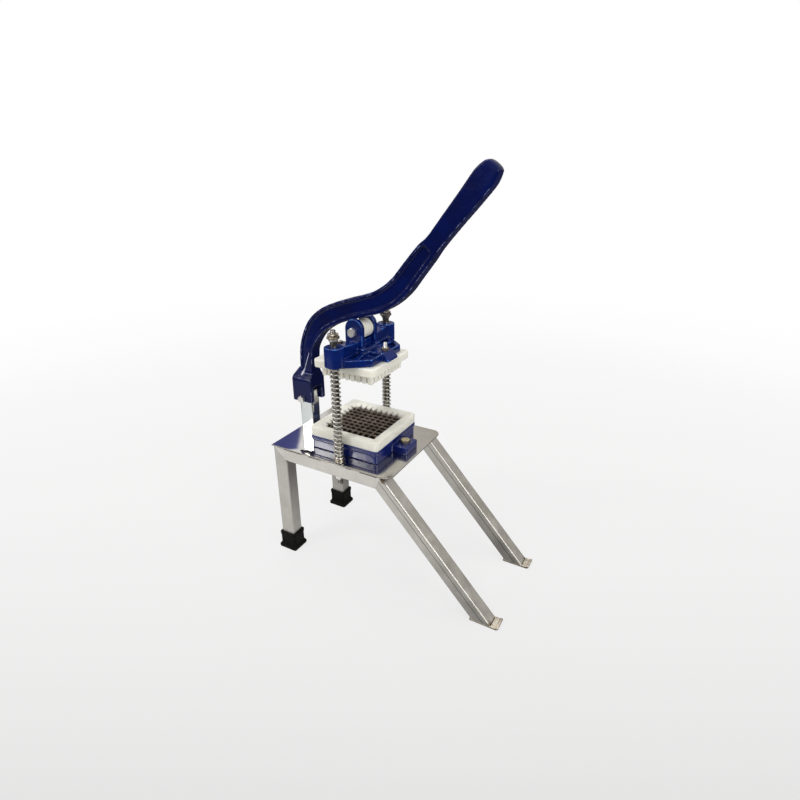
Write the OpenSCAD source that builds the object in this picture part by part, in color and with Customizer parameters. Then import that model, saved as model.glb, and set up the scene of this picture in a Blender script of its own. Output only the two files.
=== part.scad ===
// Lever-operated french fry cutter on a tubular stand.
// Origin: on the counter, under the middle of the overall box. +X is the front, where the
// handle reaches out; the operator's left hand is on the -Y side; +Z is up.

/* [Stand] */
// Plate left free in front of the front lug
plate_front_margin = 11.5; // [8:0.5:16]
// Distance from a guide rod's axis out to the side frame's outer face
rail_offset = 13; // [11:0.5:16]
// Thickness of the plate sheet
plate_thickness = 2; // [1.5:0.5:4]
// Corner radius of the plate at the front
plate_front_radius = 14; // [6:1:20]
// Height of the plate's top above the counter
table_height = 197.5; // [150:0.5:260]
// How far the plate stands out past the tubes
plate_overhang = 2; // [0.5:0.5:4]
// Depth of the tube of the rails and front legs
tube_size = 22.2; // [20:0.2:28]
// Width of all tubes, side to side
tube_width = 22; // [20:0.5:28]
// Depth of the rear legs' tube, back to front
rear_leg_depth = 24.6; // [22:0.2:30]
// Wall of the square tube
tube_wall = 1.5; // [1:0.5:3]
// Slope of the front legs, from level
leg_slope = 47.2; // [42:0.2:60]
// Distance from the plate's front edge back to the bend of the rail's underside
bend_setback = 25.8; // [22:0.2:32]
// Thickness of the strip under each front foot
sole_thickness = 3.5; // [2.5:0.5:5]
// How far the strip runs out past the front leg
toe_reach = 12; // [6:1:16]
// Height of the strip's turned-up toe
toe_height = 5; // [5:0.5:10]
// Height of the rubber foot cap
cap_height = 31; // [24:1:45]
// Wall of the rubber foot cap
cap_wall = 2.4; // [1.6:0.2:4]
// How far the cap flares out at the counter
cap_flare = 2.8; // [1:0.2:5]
// Thickness of rubber under the leg
cap_floor = 5; // [3:0.5:8]

/* [Base and grid] */
// Gap between the post and the rear lug
post_gap = 9; // [8:0.5:9.5]
// Wall of the base casting and grid frame round the chute
base_wall = 14; // [12:0.5:18]
// Height of the base casting
base_height = 21.7; // [18:0.1:26]
// How far the chute through the base is wider than the grid, on each side
chute_margin = 2; // [1:0.5:4]
// Length of a bolting lug
lug_length = 24; // [20:1:28]
// Width of a bolting lug
lug_width = 36; // [26:1:44]
// Height of a bolting lug
lug_height = 12; // [8:1:18]
// Sideways offset of the lugs
lug_offset = 4; // [0:1:8]
// Height of the white grid frame
frame_height = 13.7; // [12:0.1:20]
// Clear opening of the cutting grid
grid_size = 89; // [87:0.5:90]
// Cells along each side of the grid
grid_cells = 9; // [6:1:10]
// Thickness of a blade
blade_thickness = 0.8; // [0.5:0.1:1.2]
// Height of a blade
blade_height = 12.5; // [10:0.5:13]
// How far a blade's end runs into the frame
blade_seat = 4.6; // [3:0.1:6]

/* [Guide rods and springs] */
// Distance from the base's side out to a guide rod's axis
rod_offset = 10; // [9:0.5:14]
// Diameter of a guide rod
rod_diameter = 10; // [9.6:0.1:10.4]
// Diameter of the rod's threaded ends
rod_thread = 8; // [6:0.5:8.5]
// Length of the stud below the nut under the rail
rod_bottom_thread = 11; // [4:0.5:14]
// Length of the thread above the shoulder
rod_top_thread = 12; // [10:0.5:18]
// Outside diameter of the return spring
spring_diameter = 14.8; // [14.4:0.1:15.2]
// Wire diameter of the return spring
spring_wire = 2; // [1.7:0.1:2.1]
// Turns of the return spring
spring_turns = 26; // [20:1:30]

/* [Press head] */
// Height of the head's seat on the pusher plate, above the table plate
head_seat = 144.5; // [143:0.5:148]
// Diameter of a rod boss
boss_diameter = 28; // [26:0.5:30]
// How far a boss's lower end stands above the head's seat
boss_rise = 3; // [0:0.5:5]
// Height of a rod boss
boss_height = 29; // [27:0.5:29.5]
// Depth of the spring pocket in a boss
spring_pocket = 16; // [12:0.5:20]
// Diameter of the spring pocket in a boss
spring_pocket_diameter = 16.4; // [15.6:0.2:17]
// Height of the rim round the head's flange
rim_height = 11; // [9:0.5:13]
// Thickness of the head's floor between its ribs
floor_thickness = 5; // [4:0.5:7]
// Reach of the flange's front corners from the middle
front_reach = 43; // [40:1:46]
// Half width of the flange at its front corners
front_half_width = 41; // [38:1:44]
// Reach of the flange's rear corners from the middle
rear_reach = 36; // [34:1:40]
// Half width of the flange at its rear corners
rear_half_width = 34; // [32:1:40]
// Reach of the front and rear lugs from the middle
head_lug_reach = 54; // [52:1:56]
// Width of the front and rear lugs
head_lug_width = 28; // [24:1:34]
// Height of the front lug and of the spine behind it
head_lug_height = 13; // [12:1:16]
// Distance of the pusher's studs from the middle
stud_reach = 40.5; // [39:0.5:42]
// Height of the rib between the bosses, at the ears
beam_height = 25; // [22:1:26]
// Width of the rib between the bosses
beam_width = 14; // [10:1:16]
// Width of the head's thin ribs and rims
rib_width = 4.5; // [3:0.5:6]
// Width of an ear that carries the roller
ear_width = 29.5; // [25:0.5:31]
// Thickness of an ear
ear_thickness = 8; // [6:0.5:10]
// Gap between the ears
ear_gap = 27; // [25.5:0.5:30]
// Height of the ears' tops above the seat
ear_height = 58.8; // [56:0.1:60]
// Diameter of the roller
roller_diameter = 27; // [22:0.5:27]
// Height of the roller's pin above the seat
roller_height = 39.9; // [39:0.1:40.1]
// Diameter of the roller's pin
roller_pin_diameter = 8; // [7:0.5:9]
// Upward travel of the head to its stops
lift_travel = 8; // [6:0.5:8.5]
// Length of the pusher plate, back to front
pusher_length = 104; // [100:1:110]
// Width of the pusher plate, side to side
pusher_width = 106; // [100:1:112]
// Thickness of the pusher plate
pusher_thickness = 12; // [10:0.5:14]
// Length of a pusher finger
finger_length = 15; // [12:0.5:16.5]
// Clearance of a finger to the blades on each side
finger_clearance = 0.6; // [0.4:0.1:1]

/* [Lever] */
// Depth of the post, back to front
post_length = 26; // [20:0.5:30]
// Width of the post, side to side
post_width = 19; // [16:0.5:25]
// Height of the roller's axis above the lever's pivot
roller_rise = 128.4; // [127.8:0.1:128.5]
// Width across flats of the pivot bolt's head and nut
pivot_flats = 11; // [11:1:15]
// Diameter of the pivot bolt
pivot_diameter = 8; // [8:0.5:10]
// Thickness of the lever casting
lever_thickness = 22; // [16:1:24]
// Depth of the hollow in each side of the lever
web_recess = 4; // [2:0.5:6]
// Width of the lever's outer rim
rim_width = 4; // [3:0.5:6]
// Width of the lever's inner flange
flange_width = 7; // [5:0.5:9]
// Length of the fork at the pivot, back to front
fork_length = 38; // [32:0.5:40]
// Width across the fork
fork_width = 37.5; // [32:0.5:42]
// Clearance between the fork's slot and the post on each side
fork_clearance = 0.25; // [0.15:0.05:0.6]

/* [Hidden] */

$fn = 64;
over = 1;               // how far a cutter runs past the face it cuts
run_fit = 0.05;         // radial clearance of a running fit
slip_fit = 0.1;         // radial clearance of a bolt or seat
thread_fit = 0.05;      // radial clearance of a nut on its thread
blade_fit = 0.05;       // side clearance of a blade in its notch
seat_gap = 0.3;         // clearance round a loosely held piece

steel_grey = "#b9b6ae";
mirror_grey = "#d4d6d8";
navy_blue = "#141a66";
royal_blue = "#1c37a0";
nylon_white = "#efefe9";
rubber_black = "#1c1c1c";
bolt_grey = "#c2bfb6";
bolt_yellow = "#c8bd8c";
blade_grey = "#77726a";

// Stand, in the working frame: z = 0 on the plate's top, x = 0 at the lever's pivot
post_margin = 0.5;                    // plate left free behind the post
plate_rear = -post_length / 2 - post_margin;
chute_size = grid_size + 2 * chute_margin;
base_size = chute_size + 2 * base_wall;
press_reach = post_length / 2 + post_gap + lug_length + base_size / 2;
plate_front = press_reach + base_size / 2 + lug_length + plate_front_margin;
plate_length = plate_front - plate_rear;
rod_y = base_size / 2 + rod_offset;
rail_outer_y = rod_y + rail_offset;
plate_width = 2 * (rail_outer_y + plate_overhang);
rail_inner_y = rail_outer_y - tube_width;
rail_top = -plate_thickness;
rail_bottom = rail_top - tube_size;
rear_x = plate_rear + plate_overhang;
counter_z = -table_height;
bend_x = plate_front - bend_setback;
bend_shift = tube_size * tan(leg_slope / 2);
sole_top = counter_z + sole_thickness;
heel_x = bend_x + (rail_bottom - sole_top) / tan(leg_slope);
leg_foot_length = tube_size / sin(leg_slope);
toe_x = heel_x + leg_foot_length + toe_reach;
toe_thickness = 2.5;

// Side frame outlines, from the rear foot over the rail to the front foot
outer_chain = [[rear_x, counter_z + cap_floor], [rear_x, rail_top],
               [bend_x + bend_shift, rail_top], [heel_x + leg_foot_length, sole_top]];
inner_chain = [[rear_x + rear_leg_depth, counter_z + cap_floor],
               [rear_x + rear_leg_depth, rail_bottom],
               [bend_x, rail_bottom], [heel_x, sole_top]];
REAR_LEG = 0;
RAIL = 1;
FRONT_LEG = 2;

// Post and pivot
post_rise = 12;                       // post top above the pivot's axis
post_half = post_width / 2;
fork_roof = 18.6;                     // roof of the fork's slot above the pivot's axis
fork_drop = 5.5;                      // fork's end below the pivot's axis
bush_diameter = pivot_diameter + 6;
pivot_nut_height = 6;

// Grid and base
frame_bottom = base_height;
frame_top = base_height + frame_height;
cell = grid_size / grid_cells;
finger_size = cell - blade_thickness - 2 * finger_clearance;
bevel = 4;                            // bevel along the grid's inner top edge
blade_half_length = grid_size / 2 + blade_seat;
base_bolt_x = base_size / 2 + lug_length / 2;
frame_screw_offset = (chute_size + base_wall) / 2;
screw_radius = 2;
screw_head_height = 4;
screw_seat = 1.5;                     // screw head's face above the plate
screw_in_frame = 8;                   // screw's length in the nylon frame

// Rods
nut_flats = 13;
nut_height = 6.4;
stop_nut_flats = 15;
stop_nut_height = 4;
bumper_diameter = 13;
stop_washer_diameter = 18;
spring_washer_diameter = 15.5;
lower_washer_diameter = 15;
washer_thickness = 2.5;
spring_washer_thickness = 1.5;
bumper_height = 3.5;
stop_gap = 0.5;                       // left between the head and its stops, head right up
lower_washer_thickness = 1.6;
lower_nut_bottom = rail_bottom - lower_washer_thickness - nut_height;
rod_bottom = lower_nut_bottom - rod_bottom_thread;

// Head
boss_bottom = head_seat + boss_rise;
boss_top = boss_bottom + boss_height;
bumper_bottom = boss_top + lift_travel + stop_gap;
rod_shoulder = bumper_bottom + bumper_height;
rod_end = rod_shoulder + rod_top_thread;
bush_outer = rod_diameter + 4;
spring_top = boss_bottom + spring_pocket - seat_gap;
ear_outer_y = ear_gap / 2 + ear_thickness;
ear_round = ear_width / 2;
roller_z = head_seat + roller_height;
pivot_height = roller_z - roller_rise;
roller_length = ear_gap - 2 * seat_gap;
roller_nut_flats = 12.5;
roller_nut_height = 7;
stud_diameter = 6;
stud_nut_flats = 10;
stud_nut_height = 4;
stud_tops = [rim_height, head_lug_height];   // lug heights, rear and front
stud_ends = [4.5, 12];                       // stud above its lug, rear and front
stud_depth = 8;                       // stud in the pusher plate
pusher_bottom = head_seat - pusher_thickness;
finger_bottom = pusher_bottom - finger_length;

// Lever, forward of and above the pivot's axis: middle of the section and its depth
lever_path = [[5.8, 42, 24], [6.8, 66, 24], [10.5, 91, 24.5], [27, 120.5, 29.5],
              [53, 141, 32], [88, 155.5, 30.5], [115, 164, 30.5], [147, 176.5, 32],
              [173, 196, 31.5], [193, 220.5, 30], [213, 245.5, 28], [225, 259, 23.5],
              [247, 286.5, 25], [268, 312, 27.5], [288, 337.5, 29], [298, 350.5, 20]];
path_steps = 6;                       // points between two places of lever_path
lever_curve = smooth_path(lever_path, path_steps);
web_first = 0;                        // curve points: the sunk web's tip,
web_full = 9;                         // where it has its full width,
web_last = 62;                        // and its blunt end

// The whole model is shifted to stand over the middle of its own box
back_x = min(-fork_length / 2, rear_x - cap_wall - cap_flare);
origin_x = (toe_x + back_x) / 2;

// ---------- helpers ----------

module on_table() translate([-origin_x, 0, table_height]) children();

module both_sides() for (side = [-1, 1]) translate([0, side, 0] * rod_y) children();

module rod_along_y(diameter, length) {
    rotate([90, 0, 0]) cylinder(d = diameter, h = length, center = true);
}

// A flat outline in X and Z, given thickness along Y
module wall_xz(points, y_from, y_to) {
    translate([0, y_to, 0]) rotate([90, 0, 0]) linear_extrude(y_to - y_from) polygon(points);
}

// A flat outline in Y and Z, given thickness along X
module wall_yz(points, x_from, x_to) {
    translate([x_from, 0, 0]) rotate([90, 0, 90]) linear_extrude(x_to - x_from) polygon(points);
}

module block(low, high) translate(low) cube(high - low);

module centred_block(size_x, size_y, z_low, z_high) {
    block([-size_x / 2, -size_y / 2, z_low], [size_x / 2, size_y / 2, z_high]);
}

// Upright block with round corners
module round_block(size_x, size_y, z_low, z_high, radius) {
    translate([0, 0, z_low]) linear_extrude(z_high - z_low) round_rectangle(size_x, size_y, radius);
}

module round_rectangle(size_x, size_y, radius) {
    square([size_x - 2 * radius, size_y], center = true);
    square([size_x, size_y - 2 * radius], center = true);
    for (x = [-1, 1], y = [-1, 1])
        translate([x * (size_x / 2 - radius), y * (size_y / 2 - radius)]) circle(radius, $fn = 32);
}

module hex_nut(flats, height, thread) {
    difference() {
        cylinder(d = flats / cos(30), h = height, $fn = 6);
        translate([0, 0, -over]) cylinder(r = thread / 2 + thread_fit, h = height + 2 * over);
    }
}

module hex_bolt(flats, head_height, diameter, length) {
    cylinder(d = flats / cos(30), h = head_height, $fn = 6);
    translate([0, 0, -length]) cylinder(d = diameter, h = length + head_height / 2);
}

module washer(outer, inner, thickness) {
    difference() {
        cylinder(d = outer, h = thickness);
        translate([0, 0, -over]) cylinder(d = inner, h = thickness + 2 * over);
    }
}

function mix(a, b, share) = a + (b - a) * share;

// A line made longer at both ends
function longer(a, b, extra) =
    let (along = (b - a) / norm(b - a)) [a - along * extra, b + along * extra];

// Points between the side frame's outer and inner outlines, for one member
function member_line(index, share, extra) =
    longer(mix(outer_chain[index], inner_chain[index], share),
           mix(outer_chain[index + 1], inner_chain[index + 1], share), extra);
function member(index, share_outer, share_inner, extra = 0) =
    let (outer = member_line(index, share_outer, extra),
         inner = member_line(index, share_inner, extra))
    [outer[0], outer[1], inner[1], inner[0]];

// Smooth curve through points, with the same number of steps between each two
function curve_point(a, b, c, d, t) =
    0.5 * (2 * b + (c - a) * t + (2 * a - 5 * b + 4 * c - d) * t * t
           + (3 * b - a - 3 * c + d) * t * t * t);
function smooth_path(points, steps) =
    let (last = len(points) - 1)
    concat([for (i = [0:last - 1], step = [0:steps - 1])
                curve_point(points[max(i - 1, 0)], points[i], points[i + 1],
                            points[min(i + 2, last)], step / steps)],
           [points[last]]);

// Unit vector across the lever, towards its inner side, at one curve point
function across(i) =
    let (last = len(lever_curve) - 1,
         before = lever_curve[max(i - 1, 0)],
         after = lever_curve[min(i + 1, last)],
         along = [after[0] - before[0], after[1] - before[1]])
    [along[1], -along[0]] / norm(along);
function lever_edge(i, offset) = [lever_curve[i][0], lever_curve[i][1]] + across(i) * offset;

// ---------- stand ----------

module top_plate() {
    color(mirror_grey) on_table() difference() {
        translate([0, 0, -plate_thickness]) linear_extrude(plate_thickness) plate_outline();
        translate([press_reach, 0, 0]) {
            centred_block(chute_size, chute_size, -plate_thickness - over, over);
            both_sides() translate([0, 0, -plate_thickness - over])
                cylinder(r = rod_thread / 2 + slip_fit, h = plate_thickness + 2 * over);
            base_bolt_places() translate([0, 0, -plate_thickness - over])
                cylinder(r = rod_thread / 2 + slip_fit, h = plate_thickness + 2 * over);
        }
    }
}

module plate_outline() {
    half = plate_width / 2;
    round_start = plate_front - plate_front_radius;
    translate([plate_rear, -half]) square([round_start - plate_rear, plate_width]);
    translate([plate_rear, -half + plate_front_radius])
        square([plate_length, plate_width - 2 * plate_front_radius]);
    for (side = [-1, 1])
        translate([round_start, side * (half - plate_front_radius)]) circle(plate_front_radius);
}

// One tube of a side frame; side is -1 for the left and 1 for the right
module side_tube(index, side) {
    wall_share = tube_wall / (index == REAR_LEG ? rear_leg_depth : tube_size);
    y_low = side < 0 ? -rail_outer_y : rail_inner_y;
    y_high = y_low + tube_width;
    color(steel_grey) on_table() difference() {
        wall_xz(member(index, 0, 1), y_low, y_high);
        wall_xz(member(index, wall_share, 1 - wall_share, over),
                y_low + tube_wall, y_high - tube_wall);
        if (index == RAIL) {
            translate([press_reach, side * rod_y, rail_bottom - over])
                cylinder(r = rod_thread / 2 + slip_fit, h = tube_size + 2 * over);
        }
    }
}

module left_rail() side_tube(RAIL, -1);
module right_rail() side_tube(RAIL, 1);
module left_rear_leg() side_tube(REAR_LEG, -1);
module right_rear_leg() side_tube(REAR_LEG, 1);
module left_front_leg() side_tube(FRONT_LEG, -1);
module right_front_leg() side_tube(FRONT_LEG, 1);

module rear_cross_member() {
    color(steel_grey) on_table() difference() {
        block([rear_x, -rail_inner_y, rail_bottom],
              [rear_x + rear_leg_depth, rail_inner_y, rail_top]);
        block([rear_x + tube_wall, -rail_inner_y - over, rail_bottom + tube_wall],
              [rear_x + rear_leg_depth - tube_wall, rail_inner_y + over, rail_top - tube_wall]);
    }
}

// Rubber cap: upright sides, a lip at the top and a flared sole
function cap_profile(half) =
    let (lip = 0.8, flare = half + cap_flare)
    [[-flare + 1, 0], [flare - 1, 0], [flare, 1.5], [flare, 5], [half, 9], [half, cap_height - 4],
     [half + lip, cap_height - 1], [half, cap_height], [-half, cap_height],
     [-half - lip, cap_height - 1], [-half, cap_height - 4], [-half, 9], [-flare, 5],
     [-flare, 1.5]];

module rear_foot(side) {
    half_x = rear_leg_depth / 2 + cap_wall;
    half_y = tube_width / 2 + cap_wall;
    reach = half_x + 2 * cap_flare;
    color(rubber_black) on_table()
        translate([rear_x + rear_leg_depth / 2, side * (rail_outer_y - tube_width / 2), counter_z])
            difference() {
                intersection() {
                    wall_xz(cap_profile(half_x), -reach, reach);
                    wall_yz(cap_profile(half_y), -reach, reach);
                }
                centred_block(rear_leg_depth, tube_width, cap_floor, cap_height + over);
            }
}

module left_rear_foot() rear_foot(-1);
module right_rear_foot() rear_foot(1);

// Flat strip welded under a front leg, with its toe turned up
module front_foot(side) {
    lip_x = toe_x - toe_thickness;
    heel = heel_x - 1.5;
    y_low = side < 0 ? -rail_outer_y : rail_inner_y;
    outline = [[heel, counter_z + 1], [heel + 1, counter_z], [toe_x - 3, counter_z],
               [toe_x, counter_z + 3], [toe_x, counter_z + toe_height - 1],
               [toe_x - 1, counter_z + toe_height], [lip_x, counter_z + toe_height],
               [lip_x - 2, sole_top], [heel, sole_top]];
    color(steel_grey) on_table() wall_xz(outline, y_low, y_low + tube_width);
}

module left_front_foot() front_foot(-1);
module right_front_foot() front_foot(1);

// ---------- post and pivot ----------

module post() {
    color(mirror_grey) on_table() difference() {
        centred_block(post_length, post_width, 0, pivot_height + post_rise);
        centred_block(post_length - 2 * tube_wall, post_width - 2 * tube_wall,
                      -over, pivot_height + post_rise - tube_wall);
        translate([0, 0, pivot_height]) rod_along_y(bush_diameter, post_width + 2 * over);
    }
}

module pivot_bush() {
    color(steel_grey) on_table() at_pivot() difference() {
        rod_along_y(bush_diameter, post_width);
        rod_along_y(pivot_diameter + 2 * run_fit, post_width + 2 * over);
    }
}

// ---------- base and grid ----------

module base_bolt_places() {
    for (end = [-1, 1]) translate([end * base_bolt_x, lug_offset, 0]) children();
}

module frame_screw_places() {
    for (x = [-1, 1], y = [-1, 1]) translate([x, y, 0] * frame_screw_offset) children();
}

module base_casting() {
    foot_step = 7;
    foot_reach = 1.2;
    radius = 4;
    color(royal_blue) on_table() translate([press_reach, 0, 0]) difference() {
        union() {
            round_block(base_size - 2 * foot_reach, base_size - 2 * foot_reach,
                        0, base_height, radius);
            round_block(base_size, base_size, base_height - foot_step, base_height, radius);
            translate([0, lug_offset, 0])
                round_block(base_size + 2 * lug_length, lug_width, 0, lug_height, 3);
        }
        centred_block(chute_size, chute_size, -over, base_height + over);
        base_bolt_places() translate([0, 0, -over])
            cylinder(r = rod_thread / 2 + slip_fit, h = lug_height + 2 * over);
        frame_screw_places() {
            translate([0, 0, -over]) cylinder(r = screw_radius + 0.6, h = base_height + 2 * over);
            translate([0, 0, -over]) cylinder(r = 4.5, h = screw_seat + screw_head_height + over);
        }
    }
}

module base_bolts() {
    length = lug_height + plate_thickness + nut_height + 3;
    color(bolt_yellow) on_table() translate([press_reach, 0, lug_height]) base_bolt_places()
        hex_bolt(nut_flats, 5.5, rod_thread, length);
}

module base_nuts() {
    color(bolt_grey) on_table() translate([press_reach, 0, -plate_thickness - nut_height])
        base_bolt_places() hex_nut(nut_flats, nut_height, rod_thread);
}

module blade_slots() {
    slot = blade_thickness + 2 * blade_fit;
    reach = grid_size / 2 + blade_seat + 0.4;
    for (i = [1:grid_cells - 1]) {
        offset = -grid_size / 2 + i * cell;
        block([offset - slot / 2, -reach, frame_bottom - over],
              [offset + slot / 2, reach, frame_top + over]);
        block([-reach, offset - slot / 2, frame_bottom - over],
              [reach, offset + slot / 2, frame_top + over]);
    }
}

module grid_frame() {
    half = grid_size / 2;
    flare = [[-half - bevel - over, frame_top + over], [half + bevel + over, frame_top + over],
             [half, frame_top - bevel], [half, frame_bottom - over],
             [-half, frame_bottom - over], [-half, frame_top - bevel]];
    color(nylon_white) on_table() translate([press_reach, 0, 0]) difference() {
        round_block(base_size, base_size, frame_bottom, frame_top, 5);
        intersection() {
            wall_xz(flare, -base_size, base_size);
            wall_yz(flare, -base_size, base_size);
        }
        blade_slots();
        frame_screw_places() translate([0, 0, frame_bottom - over])
            cylinder(r = screw_radius + slip_fit, h = screw_in_frame + 1 + over);
    }
}

module frame_screws() {
    color(bolt_grey) on_table() translate([press_reach, 0, 0]) frame_screw_places() {
        translate([0, 0, screw_seat]) cylinder(r = 4, h = screw_head_height);
        translate([0, 0, screw_seat])
            cylinder(r = screw_radius, h = base_height - screw_seat + screw_in_frame);
    }
}

// One blade on edge along Y; notches are cut from the top or from the bottom
module blade(notch_low, notch_high) {
    notch = blade_thickness + 2 * blade_fit;
    difference() {
        block([-blade_thickness / 2, -blade_half_length, frame_bottom],
              [blade_thickness / 2, blade_half_length, frame_bottom + blade_height]);
        for (i = [1:grid_cells - 1])
            translate([0, -grid_size / 2 + i * cell, 0])
                block([-blade_thickness, -notch / 2, notch_low],
                      [blade_thickness, notch / 2, notch_high]);
    }
}

module blades_crosswise() {
    middle = frame_bottom + blade_height / 2;
    color(blade_grey) on_table() translate([press_reach, 0, 0])
        for (i = [1:grid_cells - 1]) translate([-grid_size / 2 + i * cell, 0, 0])
            blade(middle, frame_bottom + blade_height + over);
}

module blades_lengthwise() {
    middle = frame_bottom + blade_height / 2;
    color(blade_grey) on_table() translate([press_reach, 0, 0]) rotate([0, 0, 90])
        for (i = [1:grid_cells - 1]) translate([-grid_size / 2 + i * cell, 0, 0])
            blade(frame_bottom - over, middle);
}

// ---------- guide rods and springs ----------

module guide_rod(side) {
    color(steel_grey) on_table() translate([press_reach, side * rod_y, 0]) {
        cylinder(d = rod_diameter, h = rod_shoulder);
        translate([0, 0, rod_bottom]) cylinder(d = rod_thread, h = rod_end - rod_bottom);
    }
}

module left_guide_rod() guide_rod(-1);
module right_guide_rod() guide_rod(1);

module rod_lower_nuts() {
    color(bolt_grey) on_table() translate([press_reach, 0, lower_nut_bottom])
        both_sides() hex_nut(nut_flats, nut_height, rod_thread);
}

module rod_lower_washers() {
    color(bolt_grey) on_table() translate([press_reach, 0, lower_nut_bottom + nut_height])
        both_sides() washer(lower_washer_diameter, rod_thread + 2 * slip_fit, lower_washer_thickness);
}

module spring_washers() {
    color(bolt_grey) on_table() translate([press_reach, 0, 0])
        both_sides() washer(spring_washer_diameter, rod_diameter + 2 * slip_fit,
                            spring_washer_thickness);
}

module rod_stop_bumpers() {
    color(bolt_grey) on_table() translate([press_reach, 0, bumper_bottom])
        both_sides() washer(bumper_diameter, rod_diameter + 2 * slip_fit, bumper_height);
}

module rod_stop_washers() {
    color(bolt_grey) on_table() translate([press_reach, 0, rod_shoulder])
        both_sides() washer(stop_washer_diameter, rod_thread + 2 * slip_fit, washer_thickness);
}

module rod_stop_nuts() {
    color(bolt_grey) on_table() translate([press_reach, 0, rod_shoulder + washer_thickness])
        both_sides() hex_nut(stop_nut_flats, stop_nut_height, rod_thread);
}

// Outer envelope of a coil spring: one rounded ridge for each turn
module return_spring(side) {
    low = spring_washer_thickness;
    pitch = (spring_top - low) / spring_turns;
    inner = spring_diameter / 2 - spring_wire;
    neck = spring_diameter / 2 - spring_wire * 0.6;
    crest = spring_diameter / 2;
    outline = concat([[inner, spring_top], [inner, low]],
                     [for (turn = [0:spring_turns - 1], part = [0:3])
                         [[neck, crest, crest, neck][part],
                          low + (turn + [0.05, 0.35, 0.65, 0.95][part]) * pitch]],
                     [[neck, spring_top]]);
    color(steel_grey) on_table() translate([press_reach, side * rod_y, 0])
        rotate_extrude() polygon(outline);
}

module left_spring() return_spring(-1);
module right_spring() return_spring(1);

// ---------- press head ----------

// Plan of the flange: a pointed arm to each boss, wider in front than behind
function flange_outline(inset) =
    let (tip = beam_width / 2 - inset, front = front_reach - inset, rear = rear_reach - inset,
         front_y = front_half_width - inset, rear_y = rear_half_width - inset)
    [[-tip, -rod_y], [tip, -rod_y], [front, -front_y], [front, front_y],
     [tip, rod_y], [-tip, rod_y], [-rear, rear_y], [-rear, -rear_y]];

// Hollows between the rim, the spine, the beam and the slanted ribs, in one quarter
module quarter_pockets(reach, half_width) {
    share = 0.45;                     // where the slanted rib meets the rim
    beam_x = beam_width / 2 + 1;
    rib_x = mix(beam_width / 2, reach, share);
    rib_y = mix(rod_y, half_width, share);
    wall_x = reach - rib_width;
    ear_x = ear_width / 2;
    ear_foot = ear_outer_y + 4;
    polygon([[beam_x, rod_y - boss_diameter / 2 - 2],
             [rib_x - rib_width - 1, rib_y - rib_width - 3], [ear_x - 1, ear_foot],
             [beam_x, ear_foot]]);
    polygon([[rib_x + 2, rib_y - 2 * rib_width], [wall_x - 3, half_width - rib_width],
             [wall_x, half_width - rib_width - 3], [wall_x, head_lug_width / 2 + 1],
             [ear_x + rib_width + 2, head_lug_width / 2 + 1],
             [ear_x + rib_width + 1, ear_foot - 2]]);
}

module flange_pockets() {
    for (side = [0, 1]) mirror([0, side]) {
        quarter_pockets(front_reach, front_half_width);
        mirror([1, 0]) quarter_pockets(rear_reach, rear_half_width);
    }
}

module stud_places() {
    for (end = [-1, 1]) translate([end * stud_reach, 0, 0]) children();
}

module head_body() {
    seat_top = head_seat + head_lug_height;
    rear_top = head_seat + rim_height;
    lug_half = head_lug_width / 2;
    slope = 9;                        // the lugs' sloped ends, measured along X
    difference() {
        translate([0, 0, head_seat]) linear_extrude(rim_height) polygon(flange_outline(0));
        translate([0, 0, head_seat + floor_thickness])
            linear_extrude(rim_height) flange_pockets();
    }
    // spine from lug to lug
    wall_xz([[-head_lug_reach, head_seat], [head_lug_reach, head_seat],
             [head_lug_reach, head_seat + 3], [head_lug_reach - slope, seat_top],
             [-ear_round, seat_top], [-ear_round - 3, rear_top],
             [-head_lug_reach + slope, rear_top], [-head_lug_reach, head_seat + 3]],
            -lug_half, lug_half);
    // foot of the ears and the rib between the bosses
    centred_block(ear_width + 6, 2 * ear_outer_y + 4, head_seat, seat_top + 3);
    wall_yz([[-rod_y, head_seat], [rod_y, head_seat], [rod_y, boss_top - 1.5],
             [ear_outer_y, head_seat + beam_height], [-ear_outer_y, head_seat + beam_height],
             [-rod_y, boss_top - 1.5]], -beam_width / 2, beam_width / 2);
    both_sides() translate([0, 0, boss_bottom]) cylinder(d = boss_diameter, h = boss_height);
    for (side = [-1, 1]) translate([0, side * (ear_gap + ear_thickness) / 2, 0]) ear();
}

module ear() {
    block([-ear_round, -ear_thickness / 2, head_seat],
          [ear_round, ear_thickness / 2, head_seat + ear_height - ear_round]);
    translate([0, 0, head_seat + ear_height - ear_round])
        rod_along_y(2 * ear_round, ear_thickness);
}

module press_head() {
    color(royal_blue) on_table() translate([press_reach, 0, 0]) difference() {
        head_body();
        both_sides() {
            translate([0, 0, head_seat - over])
                cylinder(d = spring_pocket_diameter, h = boss_rise + spring_pocket + over);
            translate([0, 0, boss_bottom]) cylinder(d = bush_outer, h = boss_height + over);
        }
        // room for the roller between the ears
        block([-roller_diameter / 2 - 3, -ear_gap / 2, roller_z - roller_diameter / 2 - 2],
              [roller_diameter / 2 + 3, ear_gap / 2, roller_z + roller_diameter]);
        translate([0, 0, roller_z]) rod_along_y(roller_pin_diameter + 2 * slip_fit, 4 * ear_outer_y);
        stud_places() translate([0, 0, head_seat - over])
            cylinder(r = stud_diameter / 2 + slip_fit, h = head_lug_height + 2 * over);
    }
}

module guide_bushes() {
    color(nylon_white) on_table() translate([press_reach, 0, boss_bottom + spring_pocket]) both_sides()
        washer(bush_outer, rod_diameter + 2 * run_fit, boss_height - spring_pocket);
}

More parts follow.
